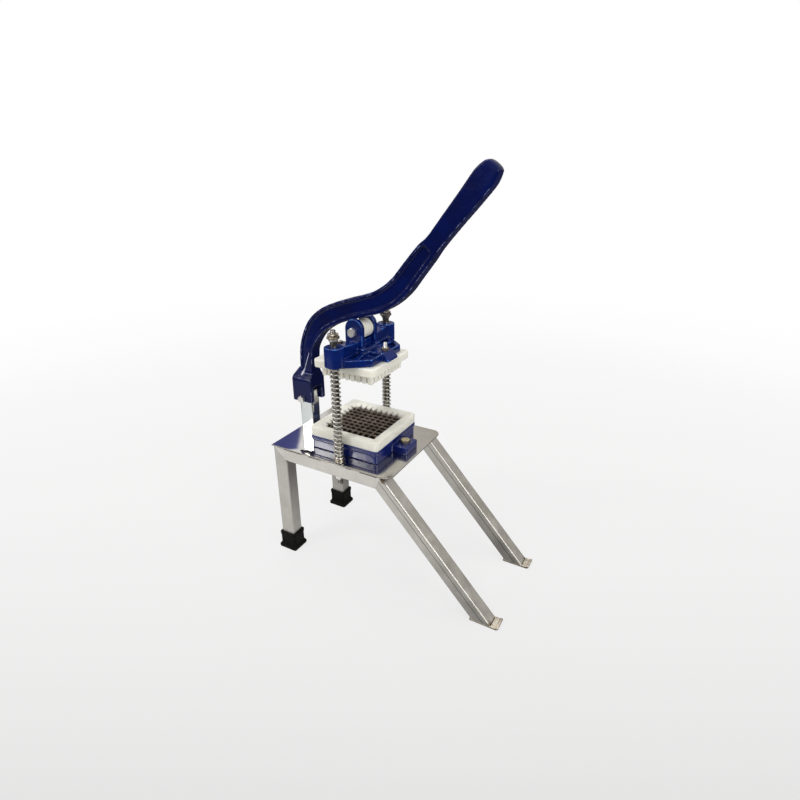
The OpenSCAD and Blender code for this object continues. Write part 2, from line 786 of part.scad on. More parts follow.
module pusher_block() {
    color(nylon_white) on_table() translate([press_reach, 0, 0]) difference() {
        union() {
            round_block(pusher_length, pusher_width, pusher_bottom, head_seat, 6);
            for (i = [0:grid_cells - 1], j = [0:grid_cells - 1])
                translate([(i + 0.5) * cell - grid_size / 2, (j + 0.5) * cell - grid_size / 2, 0])
                    centred_block(finger_size, finger_size, finger_bottom, pusher_bottom + over);
        }
        stud_places() translate([0, 0, head_seat - stud_depth])
            cylinder(d = stud_diameter, h = stud_depth + over);
    }
}

module pusher_studs() {
    color(bolt_grey) on_table() translate([press_reach, 0, head_seat - stud_depth])
        for (end = [0, 1]) translate([(2 * end - 1) * stud_reach, 0, 0])
            cylinder(d = stud_diameter, h = stud_depth + stud_tops[end] + stud_ends[end]);
}

module pusher_nuts() {
    color(bolt_grey) on_table() translate([press_reach, 0, head_seat])
        for (end = [0, 1]) translate([(2 * end - 1) * stud_reach, 0, stud_tops[end]])
            hex_nut(stud_nut_flats, stud_nut_height, stud_diameter);
}

module roller() {
    color(nylon_white) on_table() translate([press_reach, 0, roller_z]) difference() {
        rod_along_y(roller_diameter, roller_length);
        rod_along_y(roller_pin_diameter + 2 * run_fit, roller_length + 2 * over);
    }
}

module roller_pin() {
    length = 2 * ear_outer_y + roller_nut_height + 3;
    color(bolt_grey) on_table() translate([press_reach, -ear_outer_y, roller_z])
        rotate([90, 0, 0]) hex_bolt(roller_nut_flats, 6, roller_pin_diameter, length);
}

module roller_nut() {
    color(bolt_grey) on_table() translate([press_reach, ear_outer_y, roller_z])
        rotate([-90, 0, 0]) hex_nut(roller_nut_flats, roller_nut_height, roller_pin_diameter);
}

// ---------- lever ----------

module lever_outline() {
    last = len(lever_curve) - 1;
    polygon(concat([for (i = [0:last]) lever_edge(i, -lever_curve[i][2] / 2)],
                   [for (i = [last:-1:0]) lever_edge(i, lever_curve[i][2] / 2)]));
}

// Outline of the sunk web: it starts as a point at the fork and widens until it
// leaves only the inner flange
module web_outline() {
    rows = [web_first:web_last];
    polygon(concat(
        [for (i = rows) lever_edge(i, rim_width - lever_curve[i][2] / 2)],
        [for (k = [web_last:-1:web_first])
            let (depth = lever_curve[k][2],
                 share = min(1, (k - web_first) / (web_full - web_first)))
            lever_edge(k, mix(rim_width + 1 - depth / 2, depth / 2 - flange_width, share))]));
}

module upright(y_low, y_high) {
    translate([0, y_high, 0]) rotate([90, 0, 0]) linear_extrude(y_high - y_low) children();
}

// The post's head and the lever are drawn round the pivot's axis
module at_pivot() translate([0, 0, pivot_height]) children();

// The arm with a sunk web in each side
module lever_arm() {
    half = lever_thickness / 2;
    difference() {
        upright(-half, half) lever_outline();
        upright(half - web_recess, half + over) web_outline();
        upright(-half - over, -half + web_recess) web_outline();
    }
}

// Solid block of the fork, its shoulders running in to the sunk web
module fork_body() {
    shoulder = 37;                    // top of the fork's rear face
    shoulder_front = 33;              // top of the fork's side faces
    shoulder_rise = 18;
    rear_slope = 12;                  // slope of the fork's rear top corner, along X
    top_cover = 20;                   // fork's overlap on the arm above the shoulders
    half = fork_width / 2;
    half_length = fork_length / 2;
    web_half = lever_thickness / 2 - web_recess;
    side_view = [[-half_length, -fork_drop], [half_length, -fork_drop],
                 [half_length, shoulder_front + top_cover],
                 [-half_length + rear_slope, shoulder + top_cover],
                 [-half_length, shoulder]];
    end_view = [[-half, -fork_drop - over], [half, -fork_drop - over], [half, shoulder_front],
                [web_half, shoulder_front + shoulder_rise],
                [-web_half, shoulder_front + shoulder_rise], [-half, shoulder_front]];
    intersection() {
        wall_xz(side_view, -half, half);
        wall_yz(end_view, -fork_length, fork_length);
    }
}

module lever() {
    slot_half = post_half + fork_clearance;
    color(navy_blue) on_table() at_pivot() difference() {
        union() {
            lever_arm();
            fork_body();
        }
        block([-fork_length, -slot_half, -fork_drop - over], [fork_length, slot_half, fork_roof]);
        rod_along_y(pivot_diameter + 2 * slip_fit, 2 * fork_width);
    }
}

module pivot_bolt() {
    color(bolt_grey) on_table() at_pivot() translate([0, -fork_width / 2, 0]) rotate([90, 0, 0])
        hex_bolt(pivot_flats, 5, pivot_diameter, fork_width + pivot_nut_height + 2);
}

module pivot_nut() {
    color(bolt_grey) on_table() at_pivot() translate([0, fork_width / 2, 0])
        rotate([-90, 0, 0]) hex_nut(pivot_flats, pivot_nut_height, pivot_diameter);
}

top_plate();
left_rail();
right_rail();
left_rear_leg();
right_rear_leg();
left_front_leg();
right_front_leg();
rear_cross_member();
left_rear_foot();
right_rear_foot();
left_front_foot();
right_front_foot();
post();
pivot_bush();
base_casting();
base_bolts();
base_nuts();
grid_frame();
frame_screws();
blades_lengthwise();
blades_crosswise();
left_guide_rod();
right_guide_rod();
rod_lower_nuts();
rod_lower_washers();
spring_washers();
rod_stop_bumpers();
rod_stop_washers();
rod_stop_nuts();
left_spring();
right_spring();
press_head();
guide_bushes();
pusher_block();
pusher_studs();
pusher_nuts();
roller();
roller_pin();
roller_nut();
lever();
pivot_bolt();
pivot_nut();
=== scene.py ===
# Lever-operated french fry cutter: finished pieces, finishes, lights and camera round the CAD frame.
# All lengths are metres in the CAD frame. +X is the front, -Y the operator's left, +Z up.
import math

import bmesh
import bpy
import numpy as np
from mathutils import Matrix, Vector, noise


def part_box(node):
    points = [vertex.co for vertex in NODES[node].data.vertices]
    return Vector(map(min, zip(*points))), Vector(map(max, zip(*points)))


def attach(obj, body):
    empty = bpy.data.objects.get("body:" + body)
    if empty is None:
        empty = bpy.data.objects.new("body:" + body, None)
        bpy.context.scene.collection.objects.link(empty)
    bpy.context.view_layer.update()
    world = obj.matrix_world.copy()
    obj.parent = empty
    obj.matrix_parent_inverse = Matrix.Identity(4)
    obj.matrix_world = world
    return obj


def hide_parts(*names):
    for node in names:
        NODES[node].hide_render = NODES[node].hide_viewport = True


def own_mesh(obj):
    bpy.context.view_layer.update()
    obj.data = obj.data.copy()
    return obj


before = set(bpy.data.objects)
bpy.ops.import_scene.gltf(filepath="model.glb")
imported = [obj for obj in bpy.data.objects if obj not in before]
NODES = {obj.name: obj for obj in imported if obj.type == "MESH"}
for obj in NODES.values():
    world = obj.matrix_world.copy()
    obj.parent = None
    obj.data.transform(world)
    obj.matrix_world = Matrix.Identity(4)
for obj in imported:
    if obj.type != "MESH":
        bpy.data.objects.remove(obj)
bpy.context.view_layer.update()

MM = 0.001


def middle(node):
    low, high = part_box(node)
    return (low + high) / 2


def size(node):
    low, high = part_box(node)
    return high - low


PLATE_LOW, PLATE_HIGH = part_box("top_plate")
RAIL_LOW, RAIL_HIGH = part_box("right_rail")
GRID_LOW, GRID_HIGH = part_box("grid_frame")
PRESS_X = middle("grid_frame").x
ROD_Y = middle("right_guide_rod").y
PIVOT = middle("pivot_bush")
ROLLER = middle("roller")
SIDES = (("left", -1), ("right", 1))

# ---------------------------------------------------------------- camera

CAMERA_RIGHT_OF_PRESS = 0.422643
CAMERA_Y = -0.641067
CAMERA_ABOVE_PLATE = 0.406969
CAMERA_DOWN_TILT = 23.7824
CAMERA_TURN = 29.1457
CAMERA_LENS = 24.176

camera_data = bpy.data.cameras.new("camera")
camera_data.lens = CAMERA_LENS
camera_data.sensor_width = 36.0
camera_data.clip_start = 0.01
camera_data.clip_end = 200.0
camera = bpy.data.objects.new("camera", camera_data)
camera.location = (PRESS_X + CAMERA_RIGHT_OF_PRESS, CAMERA_Y, PLATE_HIGH.z + CAMERA_ABOVE_PLATE)
camera.rotation_euler = (math.radians(90 - CAMERA_DOWN_TILT), 0, math.radians(CAMERA_TURN))
bpy.context.scene.collection.objects.link(camera)
bpy.context.scene.camera = camera

# ---------------------------------------------------------------- node tools


class Net:
    """A short way to add and join nodes in one tree."""

    def __init__(self, tree, material=None):
        self.tree = tree
        self.material = material
        self.column = 0

    def add(self, kind, inputs=None, **settings):
        made = self.tree.nodes.new(kind)
        made.location = (self.column * 180, 0)
        self.column += 1
        for key, value in settings.items():
            setattr(made, key, value)
        for key, value in (inputs or {}).items():
            self.set(made.inputs[key], value)
        return made

    def set(self, socket, value):
        """Links or sets a socket; colours are given as red, green and blue."""
        if isinstance(value, bpy.types.NodeSocket):
            self.tree.links.new(value, socket)
        elif socket.type == "RGBA":
            socket.default_value = (*value, 1.0)
        else:
            socket.default_value = value

    def first(self, kind, inputs=None, **settings):
        """As add, but it gives the node's first output."""
        return self.add(kind, inputs, **settings).outputs[0]

    def place(self):
        return self.add("ShaderNodeTexCoord").outputs["Object"]

    def split(self, vector):
        return self.add("ShaderNodeSeparateXYZ", {0: vector}).outputs

    def join(self, x, y, z):
        return self.first("ShaderNodeCombineXYZ", {0: x, 1: y, 2: z})

    def math(self, operation, *values, **settings):
        """A sum on numbers."""
        return self.first(
            "ShaderNodeMath", dict(enumerate(values)), operation=operation, **settings
        )

    def vector(self, operation, *values, **named):
        """A sum on vectors; a dot product, a length and a distance are numbers."""
        made = self.add(
            "ShaderNodeVectorMath", {**dict(enumerate(values)), **named}, operation=operation
        )
        number = operation in ("DOT_PRODUCT", "LENGTH", "DISTANCE")
        return made.outputs["Value" if number else "Vector"]

    def noise(self, place, scale, detail, roughness=0.5):
        made = self.add(
            "ShaderNodeTexNoise",
            {"Vector": place, "Scale": scale, "Detail": detail, "Roughness": roughness},
        )
        return made.outputs["Fac"]

    def range(self, value, low, high, out_low=0.0, out_high=1.0, **settings):
        """A value between two limits, brought to lie evenly between two others."""
        limits = {
            "Value": value, "From Min": low, "From Max": high, "To Min": out_low,
            "To Max": out_high,
        }
        return self.first("ShaderNodeMapRange", limits, **settings)

    def ease(self, value, start, full, out_low=0.0, out_high=1.0):
        """As range, but it starts and ends softly."""
        return self.range(value, start, full, out_low, out_high, interpolation_type="SMOOTHSTEP")

    def mix(self, share, low, high):
        """Two colours mixed by a 0 to 1 value."""
        made = self.add("ShaderNodeMix", {"Factor": share}, data_type="RGBA", clamp_factor=True)
        colours = [socket for socket in made.inputs if socket.type == "RGBA"]
        self.set(colours[0], low)
        self.set(colours[1], high)
        return [socket for socket in made.outputs if socket.type == "RGBA"][0]

    def bump(self, height, strength, distance):
        return self.first(
            "ShaderNodeBump", {"Height": height, "Strength": strength, "Distance": distance}
        )

    def group(self, tree, **inputs):
        made = self.add("ShaderNodeGroup", node_tree=tree)
        for label, value in inputs.items():
            self.set(made.inputs[label.replace("_", " ")], value)
        return made.outputs

    def bar(self, line, radius):
        """A round bar along a curve."""
        section = self.first(
            "GeometryNodeCurvePrimitiveCircle", {"Resolution": 8, "Radius": radius}
        )
        return self.first(
            "GeometryNodeCurveToMesh",
            {"Curve": line, "Profile Curve": section, "Fill Caps": True},
        )

    def copies(self, points, shape, **inputs):
        """A shape at each of the points."""
        seen = self.add("GeometryNodeObjectInfo", {"Object": shape}).outputs["Geometry"]
        return self.first(
            "GeometryNodeInstanceOnPoints", {"Points": points, "Instance": seen, **inputs}
        )

    def principled(self, **inputs):
        """Ends a material; Base_Color stands for Base Color, and so on."""
        named = {label.replace("_", " "): value for label, value in inputs.items()}
        shader = self.add("ShaderNodeBsdfPrincipled", named)
        self.add("ShaderNodeOutputMaterial", {"Surface": shader.outputs["BSDF"]})
        return self.material


def material_net(name):
    material = bpy.data.materials.new(name)
    material.use_nodes = True
    material.node_tree.nodes.clear()
    return Net(material.node_tree, material)


SOCKET_KINDS = {float: "Float", int: "Int", tuple: "Vector"}


def node_group(name, kind, inputs, outputs):
    """A group with named sockets: an input's value gives its kind, or a word names the kind."""
    tree = bpy.data.node_groups.new(name, kind)
    for label, value in inputs.items():
        word = value if isinstance(value, str) else SOCKET_KINDS[type(value)]
        socket = tree.interface.new_socket(label, in_out="INPUT", socket_type="NodeSocket" + word)
        if word != value:
            socket.default_value = value
    for label, word in outputs.items():
        tree.interface.new_socket(label, in_out="OUTPUT", socket_type="NodeSocket" + word)
    net = Net(tree)
    return net, net.add("NodeGroupInput").outputs, net.add("NodeGroupOutput").inputs


def effect(name, inputs, *outputs):
    """Makes a shared shader group out of a function that works out its numbers."""

    def build(work):
        numbers = dict.fromkeys(outputs, "Float")
        net, given, out = node_group(name, "ShaderNodeTree", inputs, numbers)
        for label, value in zip(outputs, work(net, given)):
            net.set(out[label], value)
        return net.tree

    return build


# ---------------------------------------------------------------- shared surface effects

BLOTCH_SCALE = 38.0
LINE_DRIFT = 1.2 * MM
STREAK_START_WIDTH = 0.65
STREAK_SOFT_EDGE = 2.2


@effect(
    "brushed grain",
    {"Turn": (0.0, 0.0, 0.0), "Across": 2600.0, "Along": 30.0, "Band Scale": 45.0},
    "Grain", "Bands",
)
def grain(net, given):
    """Fine scratches drawn along one direction, with broad bands across them."""
    place = net.place()
    turned = net.first("ShaderNodeMapping", {"Vector": place, "Rotation": given["Turn"]})
    stretch = net.join(given["Along"], given["Across"], given["Across"])
    scaled = net.vector("MULTIPLY", turned, stretch)
    fine = net.noise(scaled, 1.0, 3.0, roughness=0.6)
    return [fine, net.noise(place, given["Band Scale"], 4.0)]


@effect(
    "cast skin", {"Lump Scale": 150.0, "Pit Scale": 900.0, "Pit Share": 0.25}, "Height", "Blotch",
)
def cast_skin(net, given):
    """Lumps and small pits of painted sand-cast metal."""
    place = net.place()
    lumps = net.noise(place, given["Lump Scale"], 2.0)
    pits = net.math("MULTIPLY", net.noise(place, given["Pit Scale"], 1.0), given["Pit Share"])
    return [net.math("ADD", lumps, pits), net.noise(place, BLOTCH_SCALE, 3.0)]


@effect("edge wear and highlight", {"Start": 0.35, "Full": 0.8, "Patch Scale": 120.0}, "Wear")
def edge_wear_and_highlight(net, given):
    """Where a casting's convex edges are rubbed and take a painted highlight; reads the piece's own
    edge attribute.
    """
    edge = net.add("ShaderNodeAttribute", attribute_name="edge").outputs["Fac"]
    broken = net.math("MULTIPLY", edge, net.noise(net.place(), given["Patch Scale"], 3.0))
    return [net.ease(broken, given["Start"], given["Full"])]


@effect("painted groove shade", {"Across": (0.0, 0.0, 1.0), "Offset": 0.0, "Half Width": 0.0005}, "Line")
def painted_groove_shade(net, given):
    """A thin dark line painted as shade along a shallow groove in a drawn tube, on the sides that its
    normal lies in.
    """
    place = net.place()
    along = net.vector("DOT_PRODUCT", place, given["Across"])
    drift = net.math("MULTIPLY_ADD", net.noise(place, 55.0, 2.0), LINE_DRIFT, given["Offset"])
    apart = net.math("ABSOLUTE", net.math("SUBTRACT", along, drift))
    twice = net.math("MULTIPLY", given["Half Width"], 2.0)
    return [net.ease(apart, twice, given["Half Width"])]


@effect("heat stain", {"Centre": (0.0, 0.0, 0.0), "Radius": 0.01}, "Stain")
def heat_stain(net, given):
    """Brown heat marks round a weld, the same on the left and the right side."""
    place = net.place()
    split = net.split(place)
    folded = net.join(split["X"], net.math("ABSOLUTE", split["Y"]), split["Z"])
    away = net.vector("DISTANCE", folded, given["Centre"])
    wide = net.math("MULTIPLY", net.noise(place, 160.0, 4.0), given["Radius"])
    share = net.math("DIVIDE", away, net.math("MULTIPLY", wide, 2.0))
    return [net.ease(share, 1.0, 0.25)]


@effect("rolled rim", {"Half Width": 0.08, "Reach": 0.012, "Slope": 0.06}, "Height")
def rolled_rim(net, given):
    """Height of a sheet whose two long sides roll down a little towards their edges."""
    side = net.math("ABSOLUTE", net.split(net.place())["Y"])
    start = net.math("SUBTRACT", given["Half Width"], given["Reach"])
    inside = net.math("MAXIMUM", net.math("SUBTRACT", side, start), 0.0)
    square = net.math("MULTIPLY", inside, inside)
    rate = net.math("DIVIDE", given["Slope"], given["Reach"])
    return [net.math("MULTIPLY", square, net.math("MULTIPLY", rate, -0.5))]


@effect(
    "streak", {"Start": (0.0, 0.0, 0.0), "Run": (0.0, 0.0, 0.01), "Half Width": 0.0005}, "Streak",
)
def streak(net, given):
    """A painted highlight streak on the left side face, from one place to another, widening to its
    end.
    """
    run = given["Run"]
    split = net.split(net.place())
    away = net.vector("SUBTRACT", net.join(split["X"], 0.0, split["Z"]), given["Start"])
    share = net.math(
        "DIVIDE", net.vector("DOT_PRODUCT", away, run), net.vector("DOT_PRODUCT", run, run),
        use_clamp=True,
    )
    apart = net.vector("DISTANCE", away, net.vector("SCALE", run, Scale=share))
    taper = net.range(share, 0.0, 1.0, STREAK_START_WIDTH, 1.0)
    half = net.math("MULTIPLY", given["Half Width"], taper)
    mask = net.ease(apart, net.math("MULTIPLY", half, STREAK_SOFT_EDGE), half)
    left = net.math("LESS_THAN", split["Y"], 0.0)
    return [net.math("MULTIPLY", mask, left)]


# ---------------------------------------------------------------- finishes

RUB_AND_HIGHLIGHT_SOFTNESS = 0.22
COLOUR_LIMITS = {"Blotch": (0.35, 0.65), "Height": (0.45, 0.85)}
ROUGH_LIMITS = {"Blotch": (0.3, 0.7), "Height": (0.4, 0.9)}


def blue_paint(
    name, base, deep, worn, wear_start, lumps=0.35, gloss=0.3, highlight_at=None, patches=230.0
):
    """Thick glossy paint over a sand casting, lighter along its edges as rubbed paint and painted
    highlight.
    """
    net = material_net(name)
    skin = net.group(cast_skin, Lump_Scale=150.0, Pit_Scale=850.0, Pit_Share=0.22)
    rub_and_highlight = net.group(
        edge_wear_and_highlight, Start=wear_start, Full=wear_start + RUB_AND_HIGHLIGHT_SOFTNESS, Patch_Scale=patches
    )
    body = net.mix(net.range(skin["Blotch"], *COLOUR_LIMITS["Blotch"]), base, deep)
    # the worn colour stands for rubbed paint and for painted highlights along the rims
    body = net.mix(rub_and_highlight["Wear"], body, worn)
    # the streak's colour is a painted highlight
    if highlight_at:
        start, end = Vector(highlight_at[0]), Vector(highlight_at[1])
        painted_shine = net.group(streak, Start=start, Run=end - start, Half_Width=highlight_at[2])
        body = net.mix(painted_shine["Streak"], body, STREAK_HIGHLIGHT)
    return net.principled(
        Base_Color=body, Specular_IOR_Level=gloss,
        Roughness=net.range(skin["Blotch"], *ROUGH_LIMITS["Blotch"], 0.12, 0.2),
        Normal=net.bump(skin["Height"], lumps, 0.5 * MM),
    )


def brushed_steel(
    name, light, dark, turn=(0, 0, 0), smooth=0.3, rough=0.46, scale=1.0, line=None, stains=()
):
    """Ground stainless steel, its grain running along X before it is turned."""
    net = material_net(name)
    brushed = net.group(
        grain, Turn=turn, Across=2600.0 * scale, Along=26.0 * scale, Band_Scale=40.0
    )
    height = brushed["Grain"]
    tone = net.math("MULTIPLY", height, brushed["Bands"])
    body = net.mix(net.range(tone, 0.12, 0.4), dark, light)
    for centre, radius in stains:
        stain = net.group(heat_stain, Centre=centre, Radius=radius)
        body = net.mix(stain["Stain"], body, HEAT_BROWN)
    # the line's dark colour is painted shade along the groove that the bump sinks
    if line:
        drawn = net.group(painted_groove_shade, Across=line[0], Offset=line[1], Half_Width=0.35 * MM)
        body = net.mix(drawn["Line"], body, GROOVE_SHADE_GREY)
        height = net.math("MULTIPLY_ADD", drawn["Line"], -1.6, height)
    return net.principled(
        Base_Color=body, Metallic=1.0,
        Roughness=net.range(brushed["Bands"], 0.3, 0.7, smooth, rough),
        Normal=net.bump(height, 0.14, 0.08 * MM),
    )


def mottled(name, low, high, lumps, colour_by, rough_by, rough, strength, depth, **uniform):
    """A finish whose colour and roughness wander with the skin's blotches or its height."""
    net = material_net(name)
    skin = net.group(cast_skin, Lump_Scale=lumps[0], Pit_Scale=lumps[1], Pit_Share=lumps[2])
    return net.principled(
        Base_Color=net.mix(net.range(skin[colour_by], *COLOUR_LIMITS[colour_by]), low, high),
        Roughness=net.range(skin[rough_by], *ROUGH_LIMITS[rough_by], *rough),
        Normal=net.bump(skin["Height"], strength, depth), **uniform,
    )


def turned_metal(name, light, dark, roughness, tarnish_scale=300.0):
    """Small plated hardware with patchy tarnish."""
    return mottled(
        name, dark, light, (tarnish_scale, 2200.0, 0.5), "Height", "Height",
        (roughness, roughness + 0.2), 0.15, 0.1 * MM, Metallic=1.0,
    )


def blade_steel(name, edge_height):
    """Dark blade steel, painted darker below its top edge as shade inside the grid cells, with a
    lighter band along the top edge as painted light.
    """
    net = material_net(name)
    skin = net.group(cast_skin, Lump_Scale=90.0, Pit_Scale=1600.0, Pit_Share=0.5)
    share = net.range(skin["Height"], *COLOUR_LIMITS["Height"])
    # the darker colour is painted shade deep in the cells; the lighter one is painted light along the
    # blades' top edges
    rolled = net.mix(share, (0.045, 0.036, 0.03), (0.11, 0.088, 0.072))
    bright = net.mix(share, (0.22, 0.185, 0.155), (0.42, 0.36, 0.31))
    height = net.split(net.place())["Z"]
    ground = net.range(height, edge_height - 3.2 * MM, edge_height - 1.6 * MM)
    return net.principled(
        Base_Color=net.mix(ground, rolled, bright), Metallic=1.0,
        Roughness=net.range(skin["Height"], *ROUGH_LIMITS["Height"], 0.36, 0.56),
        Normal=net.bump(skin["Height"], 0.15, 0.1 * MM),
    )


def polished_sheet(name, light, dark, roughness, top):
    """Mirror-finished sheet with buffing marks and a slightly wavy top, duller at the front."""
    net = material_net(name)
    brushed = net.group(grain, Across=900.0, Along=60.0, Band_Scale=14.0, Turn=(0, 0, 0.5))
    split = net.split(net.place())
    rim = net.range(split["Z"], top - 0.04 * MM, top - 0.1 * MM)
    body = net.mix(net.range(brushed["Bands"], 0.35, 0.65), dark, light)
    polish = net.range(
        split["X"], PRESS_X - 20 * MM, PRESS_X + 70 * MM, roughness, roughness + 0.12
    )
    worn = net.math("ADD", polish, net.range(brushed["Grain"], 0.3, 0.7, 0.0, 0.03))
    roll = net.group(rolled_rim, Half_Width=PLATE_HIGH.y, Reach=ROLL_REACH, Slope=ROLL_SLOPE)
    wavy = net.math("MULTIPLY_ADD", brushed["Bands"], 0.03 * MM, roll["Height"])
    return net.principled(
        Base_Color=net.mix(rim, body, RIM_GREY), Metallic=1.0,
        Roughness=net.math("MULTIPLY_ADD", rim, 0.45, worn),
        Normal=net.bump(wavy, 1.0, 1.0),
    )


LEG_SLOPE = math.radians(47.2)
UPRIGHT = (0, math.pi / 2, 0)


def across_leg():
    """Direction across the sloping legs, and where their painted shade line lies along it."""
    across = Vector((math.sin(LEG_SLOPE), 0.0, math.cos(LEG_SLOPE)))
    places = [vertex.co.dot(across) for vertex in NODES["left_front_leg"].data.vertices]
    low, high = min(places), max(places)
    return tuple(across), low + 0.6 * (high - low)


HEAT_BROWN = (0.13, 0.09, 0.06)
# The painted shade of the line along the sloping legs.
GROOVE_SHADE_GREY = (0.16, 0.15, 0.13)
RIM_GREY = (0.42, 0.405, 0.375)
# The colour of the painted highlight streak on the lever.
STREAK_HIGHLIGHT = (0.52, 0.52, 0.64)
ROLL_REACH = 14 * MM
ROLL_SLOPE = 0.08
TOE_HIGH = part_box("right_front_foot")[1]
UPRIGHT_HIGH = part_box("right_rear_leg")[1]
BEND_STAIN = ((RAIL_HIGH.x + 3 * MM, RAIL_HIGH.y, RAIL_HIGH.z - 3 * MM), 7 * MM)
TOE_STAIN = ((TOE_HIGH.x - 10 * MM, RAIL_HIGH.y, 3 * MM), 11 * MM)
CORNER_STAIN = ((UPRIGHT_HIGH.x + 1 * MM, RAIL_HIGH.y, RAIL_LOW.z), 3.5 * MM)
# Where the painted highlight streak lies on the lever's left side above the fork: start, end and half
# width.
LEVER_STREAK = (
    (PIVOT.x + 13.2 * MM, 0.0, PIVOT.z + 78 * MM),
    (PIVOT.x - 1.2 * MM, 0.0, PIVOT.z + 41 * MM),
    1.0 * MM,
)
# The lever's light edge colour is painted highlight along its rims as well as rubbed paint.
PAINT_LEVER = blue_paint(
    "navy_paint", (0.0014, 0.006, 0.07), (0.001, 0.0035, 0.046),
    (0.24, 0.26, 0.46), 0.33, gloss=0.2, highlight_at=LEVER_STREAK, patches=110.0,
)
PAINT_HEAD = blue_paint(
    "cobalt_paint", (0.001, 0.013, 0.13), (0.001, 0.009, 0.085),
    (0.04, 0.15, 0.48), 0.32, gloss=0.32,
)
PAINT_BASE = blue_paint(
    "cobalt_paint_base", (0.003, 0.01, 0.12), (0.002, 0.008, 0.085),
    (0.012, 0.03, 0.2), 0.36, lumps=0.2, gloss=0.6,
)
STEEL_RAIL = brushed_steel(
    "brushed_rail", (0.76, 0.735, 0.695), (0.56, 0.535, 0.49),
    stains=(BEND_STAIN, CORNER_STAIN),
)
# A darker copy of the rail steel: painted shade on the rear uprights under the plate.
STEEL_UPRIGHT_SHADED = brushed_steel(
    "brushed_upright", (0.62, 0.6, 0.56), (0.43, 0.41, 0.375),
    turn=UPRIGHT, stains=(CORNER_STAIN,),
)
STEEL_SLOPED = brushed_steel(
    "brushed_sloped", (0.7, 0.675, 0.63), (0.49, 0.47, 0.43),
    turn=(0, -LEG_SLOPE, 0), smooth=0.36, rough=0.52, line=across_leg(),
    stains=(BEND_STAIN, TOE_STAIN),
)
STEEL_POST = brushed_steel(
    "polished_post", (0.7, 0.73, 0.72), (0.6, 0.63, 0.62),
    turn=UPRIGHT, smooth=0.07, rough=0.15,
)
# The rods' colour is darkened as painted shade, for rods that stand in the shadow of their coils.
STEEL_ROD_SHADED = brushed_steel(
    "ground_rod", (0.36, 0.345, 0.315), (0.24, 0.23, 0.21),
    turn=UPRIGHT, smooth=0.16, rough=0.3, scale=0.6,
)
STEEL_PLATE = polished_sheet(
    "polished_plate", (0.68, 0.665, 0.635), (0.57, 0.555, 0.52), 0.025, PLATE_HIGH.z
)
STEEL_SPRING = turned_metal("spring_wire", (0.74, 0.72, 0.67), (0.48, 0.46, 0.42), 0.26)
STEEL_BLADE = blade_steel("blade_steel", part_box("blades_crosswise")[1].z)
ZINC = turned_metal("zinc", (0.52, 0.46, 0.37), (0.22, 0.18, 0.13), 0.26)
# A darker zinc: painted shade for the far stop stack under the lever.
ZINC_SHADED = turned_metal("dull_zinc", (0.3, 0.27, 0.26), (0.12, 0.1, 0.095), 0.3)
ZINC_WHITE = turned_metal("white_zinc", (0.86, 0.85, 0.83), (0.6, 0.58, 0.55), 0.24)
ZINC_YELLOW = turned_metal("yellow_zinc", (0.62, 0.55, 0.36), (0.34, 0.28, 0.17), 0.26)
TOE_STEEL = turned_metal("toe_steel", (0.74, 0.68, 0.58), (0.38, 0.32, 0.25), 0.36, 120.0)
WELD = turned_metal("weld", (0.14, 0.11, 0.085), (0.03, 0.024, 0.019), 0.4, 420.0)
WELD_GROUND = turned_metal("ground_weld", (0.66, 0.63, 0.58), (0.4, 0.37, 0.32), 0.34, 420.0)
# Machined white nylon, faintly see-through, with fine tool marks
NYLON = mottled(
    "nylon", (0.78, 0.77, 0.7), (0.7, 0.69, 0.62), (60.0, 1800.0, 0.35), "Blotch", "Blotch",
    (0.34, 0.48), 0.1, 0.2 * MM,
    Subsurface_Weight=0.6, Subsurface_Radius=(0.010, 0.009, 0.008), Subsurface_Scale=1.0,
)
# Moulded rubber with a fine pebbled skin
RUBBER = mottled(
    "rubber", (0.002, 0.002, 0.0018), (0.005, 0.0048, 0.0042), (260.0, 1500.0, 0.5), "Blotch",
    "Height", (0.42, 0.62), 0.3, 0.25 * MM, Specular_IOR_Level=0.08,
)

# ---------------------------------------------------------------- mesh tools

CORNER_ANGLE = math.radians(30)
CRISP_ANGLE = math.radians(32)
NARROW_FACE = 1.2 * MM
SIDE_INSET = 0.4 * MM
DENT_SCALE = 95.0
FULL_RUB_AND_HIGHLIGHT_BEND = 0.12


def merged_copy(node, dissolve=True):
    """A bmesh copy of a CAD node, its loose triangles joined into whole faces."""
    bm = bmesh.new()
    bm.from_mesh(NODES[node].data)
    bmesh.ops.remove_doubles(bm, verts=bm.verts, dist=1e-6)
    if dissolve:
        bmesh.ops.dissolve_limit(bm, angle_limit=math.radians(0.5), verts=bm.verts, edges=bm.edges)
    return bm


def sharpen(bm):
    """Shades rounds smooth and broad faces flat; edges that turn sharply stay crisp."""
    for face in bm.faces:
        face.smooth = face.calc_area() < NARROW_FACE * face.calc_perimeter()
    for edge in bm.edges:
        if len(edge.link_faces) == 2:
            edge.smooth = edge.calc_face_angle(math.pi) < CRISP_ANGLE
    return bm


def to_mesh(bm, name):
    mesh = bpy.data.meshes.new(name)
    bm.to_mesh(mesh)
    bm.free()
    return mesh


def add_piece(name, shape, body, material, slot, *replaced):
    """Puts a finished mesh or bmesh on a body, in place of the CAD nodes that it stands for."""
    mesh = to_mesh(shape, name) if isinstance(shape, bmesh.types.BMesh) else shape
    mesh.materials.clear()
    mesh.materials.append(material)
    piece = new_object(name, mesh)
    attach(piece, body)
    if replaced:
        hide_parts(*replaced)
    return piece


def new_object(name, mesh):
    helper = bpy.data.objects.new(name, mesh)
    bpy.context.scene.collection.objects.link(helper)
    return helper


